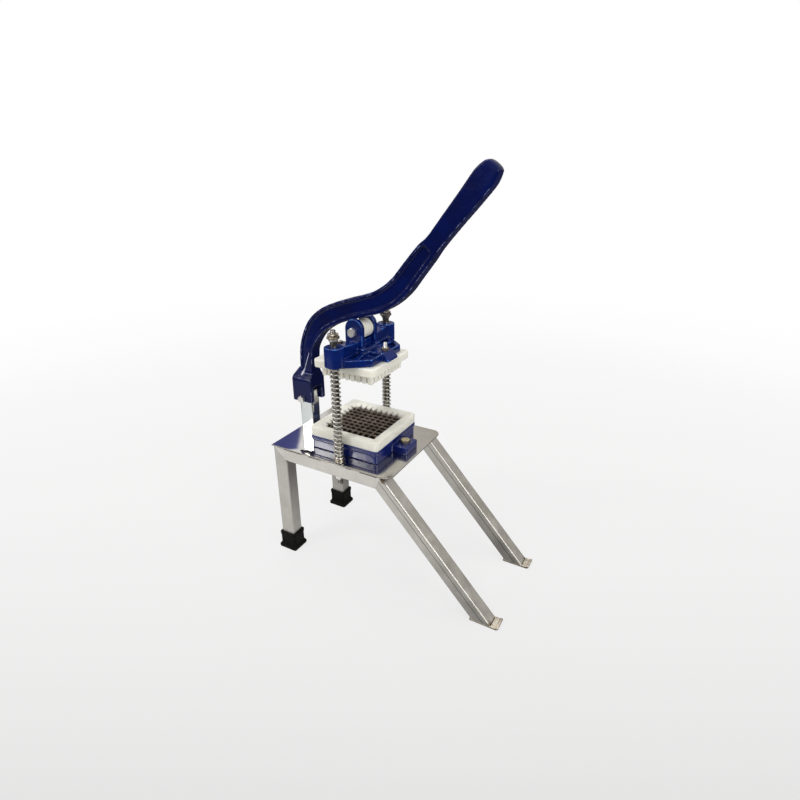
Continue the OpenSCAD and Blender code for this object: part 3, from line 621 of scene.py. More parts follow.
def evaluated_mesh(helper):
    """The helper's mesh with its modifiers applied; the helper is then removed."""
    graph = bpy.context.evaluated_depsgraph_get()
    mesh = bpy.data.meshes.new_from_object(helper.evaluated_get(graph))
    helper.modifiers.clear()
    bpy.data.objects.remove(helper)
    return mesh


def bevel(bm, edges, width, steps):
    bmesh.ops.bevel(
        bm, geom=list(edges), offset=width, offset_type="OFFSET", segments=steps,
        profile=0.5, affect="EDGES", clamp_overlap=True,
    )


def edge_line(edge):
    return (edge.verts[1].co - edge.verts[0].co).normalized()


def corner_edges(bm):
    return [
        e for e in bm.edges
        if len(e.link_faces) == 2 and abs(e.calc_face_angle(0)) > CORNER_ANGLE
    ]


def rounded_copy(node, width, steps, choose=None):
    """A CAD node with its corner edges rounded, all or those that choose() picks."""
    bm = merged_copy(node)
    longest = max(edge.calc_length() for edge in bm.edges)
    edges = [e for e in corner_edges(bm) if choose is None or choose(e, longest)]
    bevel(bm, edges, width, steps)
    return sharpen(bm)


def tube_copy(node, radius):
    """A CAD tube with its long outer edges rounded; its mitred ends stay as cut."""
    low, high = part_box(node)

    def outer(edge, longest):
        sides = [vertex.co.y for vertex in edge.verts]
        left = all(y < low.y + SIDE_INSET for y in sides)
        right = all(y > high.y - SIDE_INSET for y in sides)
        return (left or right) and edge.calc_length() > 0.55 * longest

    return rounded_copy(node, radius, 4, outer)


def mark_edges(mesh):
    """Stores how far each vertex stands out from its neighbours, for the rubbed wear and painted
    highlights on edges.
    """
    count = len(mesh.vertices)
    places = np.zeros(count * 3)
    mesh.vertices.foreach_get("co", places)
    places = places.reshape(-1, 3)
    normals = np.array([v.vector for v in mesh.vertex_normals])
    pairs = np.zeros(len(mesh.edges) * 2, int)
    mesh.edges.foreach_get("vertices", pairs)
    first, second = pairs.reshape(-1, 2).T
    total = np.zeros(count)
    number = np.zeros(count)
    for here, there in ((first, second), (second, first)):
        step = places[there] - places[here]
        rise = -(step * normals[here]).sum(1) / np.linalg.norm(step, axis=1)
        np.add.at(total, here, rise)
        np.add.at(number, here, 1)
    bend = total / np.maximum(number, 1)
    for _ in range(3):
        spread = np.zeros(count)
        np.add.at(spread, first, bend[second])
        np.add.at(spread, second, bend[first])
        bend = 0.5 * bend + 0.5 * spread / np.maximum(number, 1)
    rub_and_highlight = np.clip(bend / FULL_RUB_AND_HIGHLIGHT_BEND, 0, 1).astype(np.float32)
    mesh.attributes.new("edge", "FLOAT", "POINT").data.foreach_set("value", rub_and_highlight)


def dome_tip(mesh, corner, reach, bulge):
    """Pushes the middle of a handle's end face outwards, along the way that face looks."""
    flat = [f for f in mesh.polygons if (f.center - corner).length < reach and f.normal.z > 0.3]
    near = [f for f in flat if f.normal.x > 0.5 and abs(f.normal.y) < 0.2]
    out = sum((f.normal * f.area for f in near), Vector()).normalized()
    centre = sum((f.center * f.area for f in near), Vector()) / sum(f.area for f in near)
    half = max((f.center - centre).length for f in near)
    for vertex in mesh.vertices:
        away = vertex.co - centre
        ahead = away.dot(out)
        if ahead < -half:
            continue
        beside = (away - out * ahead).length
        share = max(0.0, 1 - (beside / half) ** 2) * min(1.0, 1 + ahead / half)
        vertex.co += out * bulge * share


def soften(helper, rounds, group=""):
    smooth = helper.modifiers.new("soften", "SMOOTH")
    smooth.vertex_group = group
    smooth.factor = 0.5
    smooth.iterations = rounds
    return evaluated_mesh(helper)


def cast_copy(node, voxel, rounds, unevenness, tip=None):
    """A casting: the CAD solid with soft edges, fillets and a slightly uneven surface.

    A tip is (place, reach, rounds, bulge): the end of a handle, rounded off and domed outwards.
    """
    helper = new_object(node + "_voxels", to_mesh(merged_copy(node, dissolve=False), node))
    remesh = helper.modifiers.new("voxels", "REMESH")
    remesh.mode = "VOXEL"
    remesh.voxel_size = voxel
    mesh = soften(helper, rounds)
    if tip:
        place, reach, tip_rounds, bulge = tip
        helper = new_object(node + "_tip", mesh)
        near = helper.vertex_groups.new(name="near_tip")
        for vertex in mesh.vertices:
            share = 1.4 - (vertex.co - place).length / reach
            if share > 0:
                near.add([vertex.index], min(share, 1.0), "REPLACE")
        mesh = soften(helper, tip_rounds, "near_tip")
        dome_tip(mesh, place, reach, bulge)
    normals = [v.vector.copy() for v in mesh.vertex_normals]
    for vertex, normal in zip(mesh.vertices, normals):
        dent = 0.5 - 0.5 * noise.noise(vertex.co * DENT_SCALE)
        vertex.co -= normal * unevenness * dent
    for face in mesh.polygons:
        face.use_smooth = True
    mark_edges(mesh)
    return mesh


def ring_mesh(profiles, close=False):
    """A skin through rings of points, each with as many points; closed on itself or capped."""
    bm = bmesh.new()
    rings = [[bm.verts.new(p) for p in ring] for ring in profiles]
    count = len(rings[0])
    for lower, upper in zip(rings, rings[1:] + (rings[:1] if close else [])):
        for i in range(count):
            k = (i + 1) % count
            bm.faces.new((lower[i], lower[k], upper[k], upper[i]))
    if not close:
        bm.faces.new(rings[0][::-1])
        bm.faces.new(rings[-1])
    bmesh.ops.recalc_face_normals(bm, faces=bm.faces)
    return sharpen(bm)


def rounded_square(half_x, half_y, radius, centre, height, steps=6):
    """Points of a square with round corners, at one height."""
    points = []
    for corner, (sx, sy) in enumerate(((1, 1), (-1, 1), (-1, -1), (1, -1))):
        for step in range(steps + 1):
            angle = math.pi / 2 * (corner + step / steps)
            x = centre[0] + sx * (half_x - radius) + radius * math.cos(angle)
            y = centre[1] + sy * (half_y - radius) + radius * math.sin(angle)
            points.append((x, y, height))
    return points


def square_bar(half_x, half_y, radius, centre, rows, steps=6):
    """An upright bar with round corners, from (height, how many mm its sides draw in) rows."""
    return ring_mesh(
        [
            rounded_square(half_x - inset * MM, half_y - inset * MM, radius, centre, z, steps)
            for z, inset in rows
        ]
    )


def turned(rows, segments=36, close=False):
    """A shape round the Z axis from (radius, height) rows; either may depend on the angle."""
    angles = [2 * math.pi * i / segments for i in range(segments)]
    rings = []
    for radius, height in rows:
        reach = [radius(a) if callable(radius) else radius for a in angles]
        level = [height(a) if callable(height) else height for a in angles]
        rings.append([(r * math.cos(a), r * math.sin(a), z) for a, r, z in zip(angles, reach, level)])
    return ring_mesh(rings, close)


def hexagon_piece(flats, height, bore=0.0):
    """A hexagon nut or bolt head with the turned chamfer on its corners, standing on z = 0."""
    radius = flats / 2
    face = radius * 0.97
    slope = math.tan(math.radians(30))

    def reach(angle):
        return radius / math.cos((angle + math.pi / 6) % (math.pi / 3) - math.pi / 6)

    def drop(angle):
        return (reach(angle) - face) * slope

    rows = [
        (bore / 2 if bore else radius * 0.3, 0.0), (face, 0.0), (reach, drop),
        (reach, lambda angle: height - drop(angle)), (face, height),
    ]
    if bore:
        rows += [(bore / 2 + 0.35 * MM, height), (bore / 2, height - 0.35 * MM)]
    else:
        rows += [(radius * 0.8, height), (radius * 0.35, height)]
    return turned(rows, 48, close=bool(bore))


COARSE_THREAD = (1.25 * MM, 0.55 * MM)
BOLT_THREAD = (1.25 * MM, 0.45 * MM)
STUD_THREAD = (1.0 * MM, 0.45 * MM)
ROWS_PER_TURN = 7
THREAD_TAPER = 1.2 * MM


def thread_rows(radius, thread, low, high):
    """Rows of a screw thread with tapered ends; a thread is its pitch and its depth."""
    pitch, depth = thread
    rows = []
    count = max(int((high - low) / pitch * ROWS_PER_TURN), 2)
    for i in range(count + 1):
        z = low + (high - low) * i / count
        cap = radius - max(0.0, THREAD_TAPER - min(z - low, high - z)) * 0.6

        def at(angle, z=z, cap=cap):
            turn = (z / pitch - angle / (2 * math.pi)) % 1.0
            return min(radius - depth * abs(2 * turn - 1), cap)

        rows.append((at, z))
    return rows


def moved(bm, matrix):
    bmesh.ops.transform(bm, matrix=matrix, verts=bm.verts)
    return bm


def joined(*parts):
    """Several bmeshes in one."""
    whole = bmesh.new()
    for part in parts:
        mesh = to_mesh(part, "part")
        whole.from_mesh(mesh)
        bpy.data.meshes.remove(mesh)
    return whole


LAY_TO_LEFT = Matrix.Rotation(math.radians(90), 4, "X")     # +Z becomes -Y
LAY_TO_RIGHT = Matrix.Rotation(math.radians(-90), 4, "X")   # +Z becomes +Y

# ---------------------------------------------------------------- geometry node trees

END_TURN_RISE = 0.011
WELD_STEP = 0.5 * MM


def geometry(name, inputs, smooth=True):
    """Makes a Geometry Nodes tree out of a function that shapes the geometry.

    The tree takes geometry, its named values and a material, and ends in real, painted mesh.
    """
    taken = {"Geometry": "Geometry", **inputs, "Material": "Material"}

    def build(work):
        net, given, out = node_group(name, "GeometryNodeTree", taken, {"Geometry": "Geometry"})
        last = net.first("GeometryNodeRealizeInstances", {0: work(net, given)})
        if smooth:
            last = net.first("GeometryNodeSetShadeSmooth", {"Geometry": last})
        painted = {"Geometry": last, "Material": given["Material"]}
        net.set(out["Geometry"], net.first("GeometryNodeSetMaterial", painted))
        return net.tree

    return build


@geometry(
    "coil spring",
    {
        "Turns": 26.0, "Coil Radius": 0.006, "Wire Radius": 0.0007, "Height": 0.16,
        "End Share": 0.04,
    },
)
def coil_spring(net, given):
    """A coil spring on the Z axis, with closed turns at both ends."""
    spiral = net.first(
        "GeometryNodeCurveSpiral",
        {
            "Resolution": 22, "Rotations": given["Turns"], "Start Radius": given["Coil Radius"],
            "End Radius": given["Coil Radius"], "Height": given["Height"],
        },
    )
    split = net.split(net.first("GeometryNodeInputPosition"))
    share = net.math("DIVIDE", split["Z"], given["Height"])
    # the end turns lie nearly flat: the height rises slowly there and evenly between
    rest = net.math("SUBTRACT", 1.0, given["End Share"])
    end_low = net.range(share, 0.0, given["End Share"], 0.0, END_TURN_RISE)
    between = net.range(share, given["End Share"], rest, 0.0, 1 - 2 * END_TURN_RISE)
    end_high = net.range(share, rest, 1.0, 0.0, END_TURN_RISE)
    total = net.math("ADD", net.math("ADD", end_low, between), end_high)
    wire = net.math("MULTIPLY", given["Wire Radius"], 2.0)
    room = net.math("SUBTRACT", given["Height"], wire)
    height = net.math("MULTIPLY_ADD", total, room, given["Wire Radius"])
    shaped = {"Geometry": spiral, "Position": net.join(split["X"], split["Y"], height)}
    line = net.first("GeometryNodeSetPosition", shaped)
    return net.bar(line, given["Wire Radius"])


@geometry(
    "field of copies",
    {"Shape": "Object", "Count X": 9, "Count Y": 9, "Pitch": 0.01, "Middle": (0.0, 0.0, 0.0)},
    smooth=False,
)
def copies_on_grid(net, given):
    """Copies of a shape on a grid in X and Y."""
    grid = {}
    for axis in "XY":
        gaps = net.math("SUBTRACT", given["Count " + axis], 1.0)
        grid["Size " + axis] = net.math("MULTIPLY", gaps, given["Pitch"])
        grid["Vertices " + axis] = given["Count " + axis]
    places = {"Geometry": net.first("GeometryNodeMeshGrid", grid), "Translation": given["Middle"]}
    return net.copies(net.first("GeometryNodeTransform", places), given["Shape"])


@geometry(
    "fasteners", {"Shape": "Object", "Most Turn": 1.0, "Axis": (0.0, 0.0, 1.0), "Seed": 3},
    smooth=False,
)
def copies_at_points(net, given):
    """Copies of a nut or bolt at the points of the input, each turned by a random angle."""
    turn = net.add("FunctionNodeRandomValue", {"Seed": given["Seed"]}, data_type="FLOAT")
    limits = [socket for socket in turn.inputs if socket.type == "VALUE"]
    net.set(limits[0], 0.0)
    net.set(limits[1], given["Most Turn"])
    angle = [socket for socket in turn.outputs if socket.type == "VALUE"][0]
    rotation = {"Axis": given["Axis"], "Angle": angle}
    return net.copies(
        given["Geometry"], given["Shape"],
        Rotation=net.first("FunctionNodeAxisAngleToRotation", rotation),
    )


@geometry(
    "weld bead", {"Bead Radius": 0.0009, "Ripple": 0.35, "Ripple Scale": 700.0, "Seed": 5}
)
def weld_bead(net, given):
    """A rippled weld bead along the edges of the input."""
    line = net.first("GeometryNodeMeshToCurve", {"Mesh": given["Geometry"]})
    fine = net.first(
        "GeometryNodeResampleCurve", {"Curve": line, "Length": WELD_STEP}, mode="LENGTH"
    )
    bead = net.bar(fine, given["Bead Radius"])
    lumps = net.add(
        "ShaderNodeTexNoise", {"Scale": given["Ripple Scale"], "W": given["Seed"]},
        noise_dimensions="4D",
    ).outputs["Fac"]
    reach = net.math("MULTIPLY", given["Bead Radius"], given["Ripple"])
    lift = net.math("MULTIPLY", net.math("SUBTRACT", lumps, 0.75), reach)
    normal = net.first("GeometryNodeInputNormal")
    offset = net.vector("SCALE", normal, Scale=net.math("MULTIPLY", lift, 3.0))
    return net.first("GeometryNodeSetPosition", {"Geometry": bead, "Offset": offset})


def run_tree(tree, base_mesh, shape=None, **values):
    """Runs a tree on a mesh, with a shape to copy if it takes one; returns a plain mesh."""
    if shape is not None:
        values["Shape"] = new_object("pattern", to_mesh(shape, "pattern"))
    helper = new_object("tree_helper", base_mesh or bpy.data.meshes.new("empty"))
    modifier = helper.modifiers.new("tree", "NODES")
    modifier.node_group = tree
    for item in tree.interface.items_tree:
        key = item.name.replace(" ", "_")
        if item.in_out == "INPUT" and key in values:
            modifier[item.identifier] = values[key]
    mesh = evaluated_mesh(helper)
    if shape is not None:
        bpy.data.objects.remove(values["Shape"])
    return mesh


def point_mesh(points, edges=()):
    mesh = bpy.data.meshes.new("points")
    mesh.from_pydata([tuple(p) for p in points], list(edges), [])
    return mesh


def fasteners(name, shape, points, body, material, slot, node, turn=1.0, seed=3):
    """Upright nuts or bolts of one shape at several places, as one piece."""
    mesh = run_tree(
        copies_at_points, point_mesh(points), shape, Most_Turn=turn, Axis=(0, 0, 1),
        Seed=seed, Material=material,
    )
    return add_piece(name, mesh, body, material, slot, node)


def field(shape, counts, centre, material):
    """Copies of a shape, one grid cell apart."""
    return run_tree(
        copies_on_grid, None, shape, Count_X=counts[0], Count_Y=counts[1], Pitch=CELL,
        Middle=centre, Material=material,
    )


def weld(name, path, radius, ripple=0.35, seed=5, finish=WELD):
    """A weld bead on the stand along a line of points."""
    edges = [(i, i + 1) for i in range(len(path) - 1)]
    mesh = run_tree(
        weld_bead, point_mesh(path, edges), Bead_Radius=radius, Ripple=ripple,
        Seed=seed, Material=finish,
    )
    return add_piece(name, mesh, "root", finish, "brushed_tube")

# ---------------------------------------------------------------- stand

TUBE_ROUNDING = 2.2 * MM
LEG_LOW, LEG_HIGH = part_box("left_front_leg")
for part, finish in (
    ("rail", STEEL_RAIL), ("rear_leg", STEEL_UPRIGHT_SHADED), ("front_leg", STEEL_SLOPED)
):
    for side, _ in SIDES:
        tube = f"{side}_{part}"
        shape = tube_copy(tube, TUBE_ROUNDING)
        add_piece(tube + "_tube", shape, "root", finish, "brushed_tube", tube)


def along_y(edge, longest):
    return abs(edge_line(edge).y) > 0.99


def outer_rim(low, high, margin_x, margin_y):
    """Picks the level edges of a plate's outer rim, not those of its holes."""

    def choose(edge, longest=0.0):
        for vertex in edge.verts:
            inside_x = low.x + margin_x < vertex.co.x < high.x - margin_x
            inside_y = low.y + margin_y < vertex.co.y < high.y - margin_y
            if inside_x and inside_y:
                return False
        return abs(edge_line(edge).z) < 0.1

    return choose


cross_tube = rounded_copy("rear_cross_member", 1.2 * MM, 3, along_y)
add_piece("rear_cross_tube", cross_tube, "root", STEEL_RAIL, "brushed_tube", "rear_cross_member")
for side, _ in SIDES:
    foot = side + "_front_foot"
    strip = rounded_copy(foot, 0.7 * MM, 2)
    add_piece(foot + "_strip", strip, "root", TOE_STEEL, "brushed_tube", foot)
# its holes start 1 mm inside the sides and 16 mm inside the ends
plate_rim = outer_rim(PLATE_LOW, PLATE_HIGH, 16 * MM, 1 * MM)
plate = rounded_copy("top_plate", 0.5 * MM, 2, plate_rim)
add_piece("polished_top_plate", plate, "root", STEEL_PLATE, "polished_plate", "top_plate")


def rubber_cap(node):
    """Moulded cap: ribbed lip, straight sides and a flared, rounded sole."""
    full = size(node)
    leg = size(node.replace("foot", "leg"))
    flare = (full.x - leg.x) / 2 / MM
    more_in_y = (full.y - leg.y) / 2 / MM - flare
    wall = 2.4
    top = full.z / MM
    # (height, how far outside the leg, corner radius) in mm, up the outside and into the mouth
    stations = (
        (0.0, flare - 1.6, 3.0), (0.4, flare - 0.7, 3.4), (1.4, flare, 3.8), (4.6, flare, 3.8),
        (5.6, flare - 0.8, 3.4), (8.6, wall + 0.2, 3.0), (9.4, wall - 0.1, 2.8),
        (top - 6.6, wall - 0.1, 2.8), (top - 6.0, wall + 0.45, 3.0), (top - 4.4, wall + 0.6, 3.0),
        (top - 3.8, wall + 0.1, 2.8), (top - 3.2, wall + 0.1, 2.8), (top - 2.4, wall + 0.7, 3.0),
        (top - 0.8, wall + 0.7, 3.0), (top - 0.1, wall + 0.1, 2.8), (top, wall - 0.6, 2.6),
        (top - 0.2, 0.15, 2.3), (5.2, 0.05, 2.2),
    )
    rings = []
    for height, out, radius in stations:
        out_y = out if out < flare - 0.9 else out + more_in_y
        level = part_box(node)[0].z + height * MM
        half_x, half_y = leg.x / 2 + out * MM, leg.y / 2 + out_y * MM
        rings.append(rounded_square(half_x, half_y, radius * MM, middle(node), level))
    return ring_mesh(rings)


for side, _ in SIDES:
    cap = side + "_rear_foot"
    add_piece(cap + "_cap", rubber_cap(cap), "root", RUBBER, "rubber", cap)


def beside(sign, x, inwards, z):
    """A place on one side, some mm inside the outer face of its tubes."""
    return (x, sign * (RAIL_HIGH.y - inwards * MM), z)


# Dark tack welds under the plate's side edges, also standing in as painted shade under the plate's
# overhang: start from the rear, length, bead radius, in mm
EDGE_WELD_SHADE_RUNS = ((24, 8, 0.8), (33.5, 23.5, 1.05), (71.5, 23, 1.0), (140, 9, 1.0), (165, 28.5, 1.2))
# A dark bead at the front bend, also standing in as painted shade in the open gap there: place from
# the plate's rear, inwards, below the top, in mm
BEND_GAP_SHADE = ((197, 0.5, 0.8), (203, 0.1, 2.6), (206.2, 0.1, 4.4), (208.6, 0.1, 9.5))

for side, sign in SIDES:
    bend = [
        beside(sign, RAIL_HIGH.x - 1.6 * MM, 0.25, RAIL_HIGH.z - 1.2 * MM),
        beside(sign, (RAIL_HIGH.x + LEG_LOW.x) / 2, 0.25, (RAIL_HIGH.z + RAIL_LOW.z) / 2),
        beside(sign, LEG_LOW.x + 0.6 * MM, 0.25, RAIL_LOW.z + 1.2 * MM),
    ]
    weld(side + "_bend_weld", bend, 0.55 * MM, seed=4 + sign, finish=WELD_GROUND)
    # the dark bead in the bend's gap is partly weld, partly painted shade
    gap_shade = [
        beside(sign, PLATE_LOW.x + x * MM, inwards, RAIL_HIGH.z - drop * MM)
        for x, inwards, drop in BEND_GAP_SHADE
    ]
    weld(side + "_bend_bead", gap_shade, 0.45 * MM, ripple=0.6, seed=40 + sign)
    low_y, high_y = sorted((sign * RAIL_LOW.y, sign * RAIL_HIGH.y))
    toe = [
        (LEG_HIGH.x + 0.1 * MM, y, LEG_LOW.z + 0.2 * MM)
        for y in (low_y + 2.5 * MM, (low_y + high_y) / 2, high_y - 2.5 * MM)
    ]
    weld(side + "_toe_weld", toe, 0.8 * MM, seed=8 + sign)
    corner = Vector(beside(sign, UPRIGHT_HIGH.x + 0.3 * MM, 2.4, RAIL_LOW.z - 0.2 * MM))
    end = corner - Vector((0, 8 * MM * sign, 0))
    weld(side + "_corner_weld", [corner, end], 0.8 * MM, seed=30 + sign)
    # these dark beads are partly painted shade along the plate's edge
    for number, (start, length, thick) in enumerate(EDGE_WELD_SHADE_RUNS):
        run = []
        for k in range(5):
            level = RAIL_HIGH.z - 1.2 * MM + 0.12 * MM * math.sin(7 * k)
            run.append(beside(sign, PLATE_LOW.x + (start + length * k / 4) * MM, -0.7, level))
        weld(f"{side}_edge_weld_{number + 1}", run, thick * MM, ripple=0.5, seed=11 + number)

# ---------------------------------------------------------------- post

POST_LOW, POST_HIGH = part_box("post")
post = square_bar(
    size("post").x / 2, size("post").y / 2, 2.4 * MM, middle("post"),
    (
        (POST_LOW.z, 0), (POST_HIGH.z - 1.4 * MM, 0), (POST_HIGH.z - 0.4 * MM, 0.4),
        (POST_HIGH.z, 1.4),
    ),
)
add_piece("square_post", post, "root", STEEL_POST, "polished_post", "post")
front_x, back_x = POST_HIGH.x + 0.2 * MM, POST_LOW.x + 0.6 * MM
left_y, right_y = POST_LOW.y - 0.2 * MM, POST_HIGH.y + 0.2 * MM
round_post = [
    (x, y, POST_LOW.z + 0.3 * MM)
    for x, y in (
        (front_x, left_y), (front_x, right_y), (back_x, right_y), (back_x, left_y),
        (front_x, left_y),
    )
]
weld("post_weld", round_post, 1.0 * MM, seed=21, finish=WELD_GROUND)

# The CAD nodes that show as they are
for node, finish in (("pivot_bush", ZINC), ("frame_screws", ZINC), ("guide_bushes", PAINT_HEAD)):
    NODES[node].data.materials.clear()
    NODES[node].data.materials.append(finish)

# ---------------------------------------------------------------- castings

LEVER_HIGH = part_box("lever")[1]
GRIP_TIP = (Vector((LEVER_HIGH.x, 0.0, LEVER_HIGH.z)), 24 * MM, 60, 2.2 * MM)
lever = cast_copy("lever", 0.9 * MM, 18, 0.2 * MM, tip=GRIP_TIP)
add_piece("lever_casting", lever, "lever", PAINT_LEVER, "lever_blue", "lever")
head = cast_copy("press_head", 0.8 * MM, 9, 0.25 * MM)
add_piece("head_casting", head, "head", PAINT_HEAD, "head_blue", "press_head")
base = cast_copy("base_casting", 0.85 * MM, 3, 0.12 * MM)
add_piece("base_body", base, "root", PAINT_BASE, "base_blue", "base_casting")

# ---------------------------------------------------------------- grid

CELLS = 9
GRID_OPENING = 89 * MM
CELL = GRID_OPENING / CELLS
BLADE_HALF = 0.4 * MM
FRAME_MARGIN = 5.2 * MM


def frame_corner(edge):
    """Whether an edge is one of the nylon frame's four outer uprights."""
    place = edge.verts[0].co
    near_x = min(place.x - GRID_LOW.x, GRID_HIGH.x - place.x) < 0.1 * MM
    near_y = min(place.y - GRID_LOW.y, GRID_HIGH.y - place.y) < 0.1 * MM
    return abs(edge_line(edge).z) > 0.99 and near_x and near_y


def nylon_frame():
    """The grid's frame: round outer corners, then softened rims."""
    bm = merged_copy("grid_frame")
    bevel(bm, [edge for edge in corner_edges(bm) if frame_corner(edge)], 3 * MM, 4)
    rim = outer_rim(GRID_LOW, GRID_HIGH, FRAME_MARGIN, FRAME_MARGIN)
    bevel(bm, [edge for edge in corner_edges(bm) if rim(edge)], 1.1 * MM, 3)
    return sharpen(bm)


def blade_shape(node):
    """One blade on edge with a ground top edge, the half-lap notches left out."""
    full = size(node)
    half = max(full.x, full.y) / 2
    shoulder = full.z - 1.2 * MM
    right = ((BLADE_HALF, 0.0), (BLADE_HALF, shoulder), (0.12 * MM, full.z))
    left = [(-x, z) for x, z in right]
    section = [left[0], *right, left[2], left[1]]
    bm = ring_mesh([[(x, y, z) for x, z in section] for y in (-half, half)])
    if full.x > full.y:
        moved(bm, Matrix.Rotation(math.radians(90), 4, "Z"))
    return bm


add_piece("nylon_frame", nylon_frame(), "root", NYLON, "nylon", "grid_frame")
for node, counts in (("blades_crosswise", (CELLS - 1, 1)), ("blades_lengthwise", (1, CELLS - 1))):
    row = field(blade_shape(node), counts, (PRESS_X, 0.0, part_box(node)[0].z), STEEL_BLADE)
    add_piece(node + "_row", row, "root", STEEL_BLADE, "blade", node)

# ---------------------------------------------------------------- rods, springs, their hardware

NUT_FLATS = 13 * MM
STOP_NUT_FLATS = 15 * MM
ROD_LOW, ROD_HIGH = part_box("left_guide_rod")
ROD_RADIUS = (ROD_HIGH.x - ROD_LOW.x) / 2
THREAD_RADIUS = 4 * MM
NECK_RADIUS = THREAD_RADIUS - 0.3 * MM
WIRE_RADIUS = 1 * MM
SPRING_TURNS = 26.0
SHOULDER_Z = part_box("rod_stop_washers")[0].z
LOWER_THREAD_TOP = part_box("rod_lower_nuts")[0].z + 8 * MM
for side, sign in SIDES:
    rows = thread_rows(THREAD_RADIUS, COARSE_THREAD, ROD_LOW.z, LOWER_THREAD_TOP)
    rows += [
        (NECK_RADIUS, LOWER_THREAD_TOP + 0.3 * MM), (NECK_RADIUS, PLATE_HIGH.z),
        (ROD_RADIUS, PLATE_HIGH.z + 0.05 * MM), (ROD_RADIUS, SHOULDER_Z - 0.6 * MM),
        (ROD_RADIUS - 0.5 * MM, SHOULDER_Z - 0.1 * MM), (NECK_RADIUS, SHOULDER_Z),
    ]
    rows += thread_rows(THREAD_RADIUS, COARSE_THREAD, SHOULDER_Z + 0.1 * MM, ROD_HIGH.z)
    rod = moved(turned(rows), Matrix.Translation((PRESS_X, sign * ROD_Y, 0)))
    add_piece(side + "_rod", rod, "root", STEEL_ROD_SHADED, "spring_steel", side + "_guide_rod")
    spring = side + "_spring"
    foot = (PRESS_X, sign * ROD_Y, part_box(spring)[0].z)
    coil = run_tree(
        coil_spring, None, Turns=SPRING_TURNS, Wire_Radius=WIRE_RADIUS,
        Coil_Radius=size(spring).x / 2 - WIRE_RADIUS, Height=size(spring).z, End_Share=0.05,
        Material=STEEL_SPRING,
    )
    coil.transform(Matrix.Translation(foot))
    piece = add_piece(side + "_coil", coil, "root", STEEL_SPRING, "spring_steel", spring)
    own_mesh(piece)


def ring_shape(node, bore):
    """A washer with rolled edges, from a CAD node that holds two of them."""
    radius, thick, rolled = size(node).x / 2, size(node).z, 0.3 * MM
    rows = (
        (bore, 0.0), (radius - rolled, 0.0), (radius, rolled), (radius, thick - rolled),
        (radius - rolled, thick), (bore + rolled, thick), (bore, thick - rolled),
    )
    return turned(rows, 48, close=True)


def stack_part(node, shape, finishes):
    """A washer or nut on both rods: left and right are one piece each, in their own finish."""
    for (side, sign), finish in zip(SIDES, finishes):
        place = (PRESS_X, sign * ROD_Y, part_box(node)[0].z)
        name = f"{side}_{node}"
        fasteners(name, shape.copy(), [place], "root", finish, "zinc", node, seed=6)
    shape.free()


# The far (right) stop parts take the darker zinc as painted shade under the lever.
for node, bore, finishes in (
    ("rod_lower_washers", THREAD_RADIUS, (ZINC_WHITE, ZINC_WHITE)),
    ("spring_washers", ROD_RADIUS, (ZINC, ZINC)),
    ("rod_stop_bumpers", ROD_RADIUS, (ZINC_WHITE, ZINC_SHADED)),
    ("rod_stop_washers", THREAD_RADIUS, (ZINC, ZINC_SHADED)),
):
    stack_part(node, ring_shape(node, bore + 0.1 * MM), finishes)
for node, flats, finishes in (
    ("rod_lower_nuts", NUT_FLATS, (ZINC_WHITE, ZINC_WHITE)),
    ("rod_stop_nuts", STOP_NUT_FLATS, (ZINC, ZINC_SHADED)),
):
    stack_part(node, hexagon_piece(flats, size(node).z, 2 * THREAD_RADIUS), finishes)

BOLT_LOW, BOLT_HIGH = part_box("base_bolts")
BOLT_HEAD = 5.5 * MM
bolt_seat = BOLT_HIGH.z - BOLT_HEAD
bolt_reach = size("base_bolts").x / 2 - NUT_FLATS / math.cos(math.radians(30)) / 2
shank = turned(thread_rows(THREAD_RADIUS, COARSE_THREAD, BOLT_LOW.z - bolt_seat, 0.5 * MM))
bolt = joined(hexagon_piece(NUT_FLATS, BOLT_HEAD), shank)
nut = hexagon_piece(NUT_FLATS, size("base_nuts").z, 2 * THREAD_RADIUS)
for name, shape, level, finish, slot, node, turn, seed in (
    ("lug_bolts", bolt, bolt_seat, ZINC_YELLOW, "yellow_zinc", "base_bolts", 0.7, 9),
    ("lug_nuts", nut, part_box("base_nuts")[0].z, ZINC, "zinc", "base_nuts", 1.0, 12),
):
    centre = middle("base_bolts")
    places = [(centre.x + sign * bolt_reach, centre.y, level) for _, sign in SIDES]
    fasteners(name, shape, places, "root", finish, slot, node, turn=turn, seed=seed)

# ---------------------------------------------------------------- head: pusher, studs, roller

PUSHER_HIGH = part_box("pusher_block")[1]
FINGER_LENGTH = 15 * MM
FINGER_GAP = 1.2 * MM
FINGER_HALF = (CELL - 2 * BLADE_HALF - FINGER_GAP) / 2
BLOCK_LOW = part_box("pusher_block")[0].z + FINGER_LENGTH
finger = square_bar(
    FINGER_HALF, FINGER_HALF, 0.9 * MM, (0, 0),
    (
        (0.6 * MM, 0.0), (1.6 * MM - FINGER_LENGTH, 0.25), (0.5 * MM - FINGER_LENGTH, 0.7),
        (-FINGER_LENGTH, 1.9),
    ),
    steps=2,
)
block = square_bar(
    size("pusher_block").x / 2, size("pusher_block").y / 2, 6 * MM, (PRESS_X, 0.0),
    (
        (BLOCK_LOW, 1.2), (BLOCK_LOW + 0.35 * MM, 0.35), (BLOCK_LOW + 1.2 * MM, 0),
        (PUSHER_HIGH.z - 1.2 * MM, 0), (PUSHER_HIGH.z - 0.35 * MM, 0.35), (PUSHER_HIGH.z, 1.2),
    ),
)
block.from_mesh(field(finger, (CELLS, CELLS), (PRESS_X, 0.0, BLOCK_LOW), NYLON))
add_piece("nylon_pusher", block, "head", NYLON, "nylon", "pusher_block")

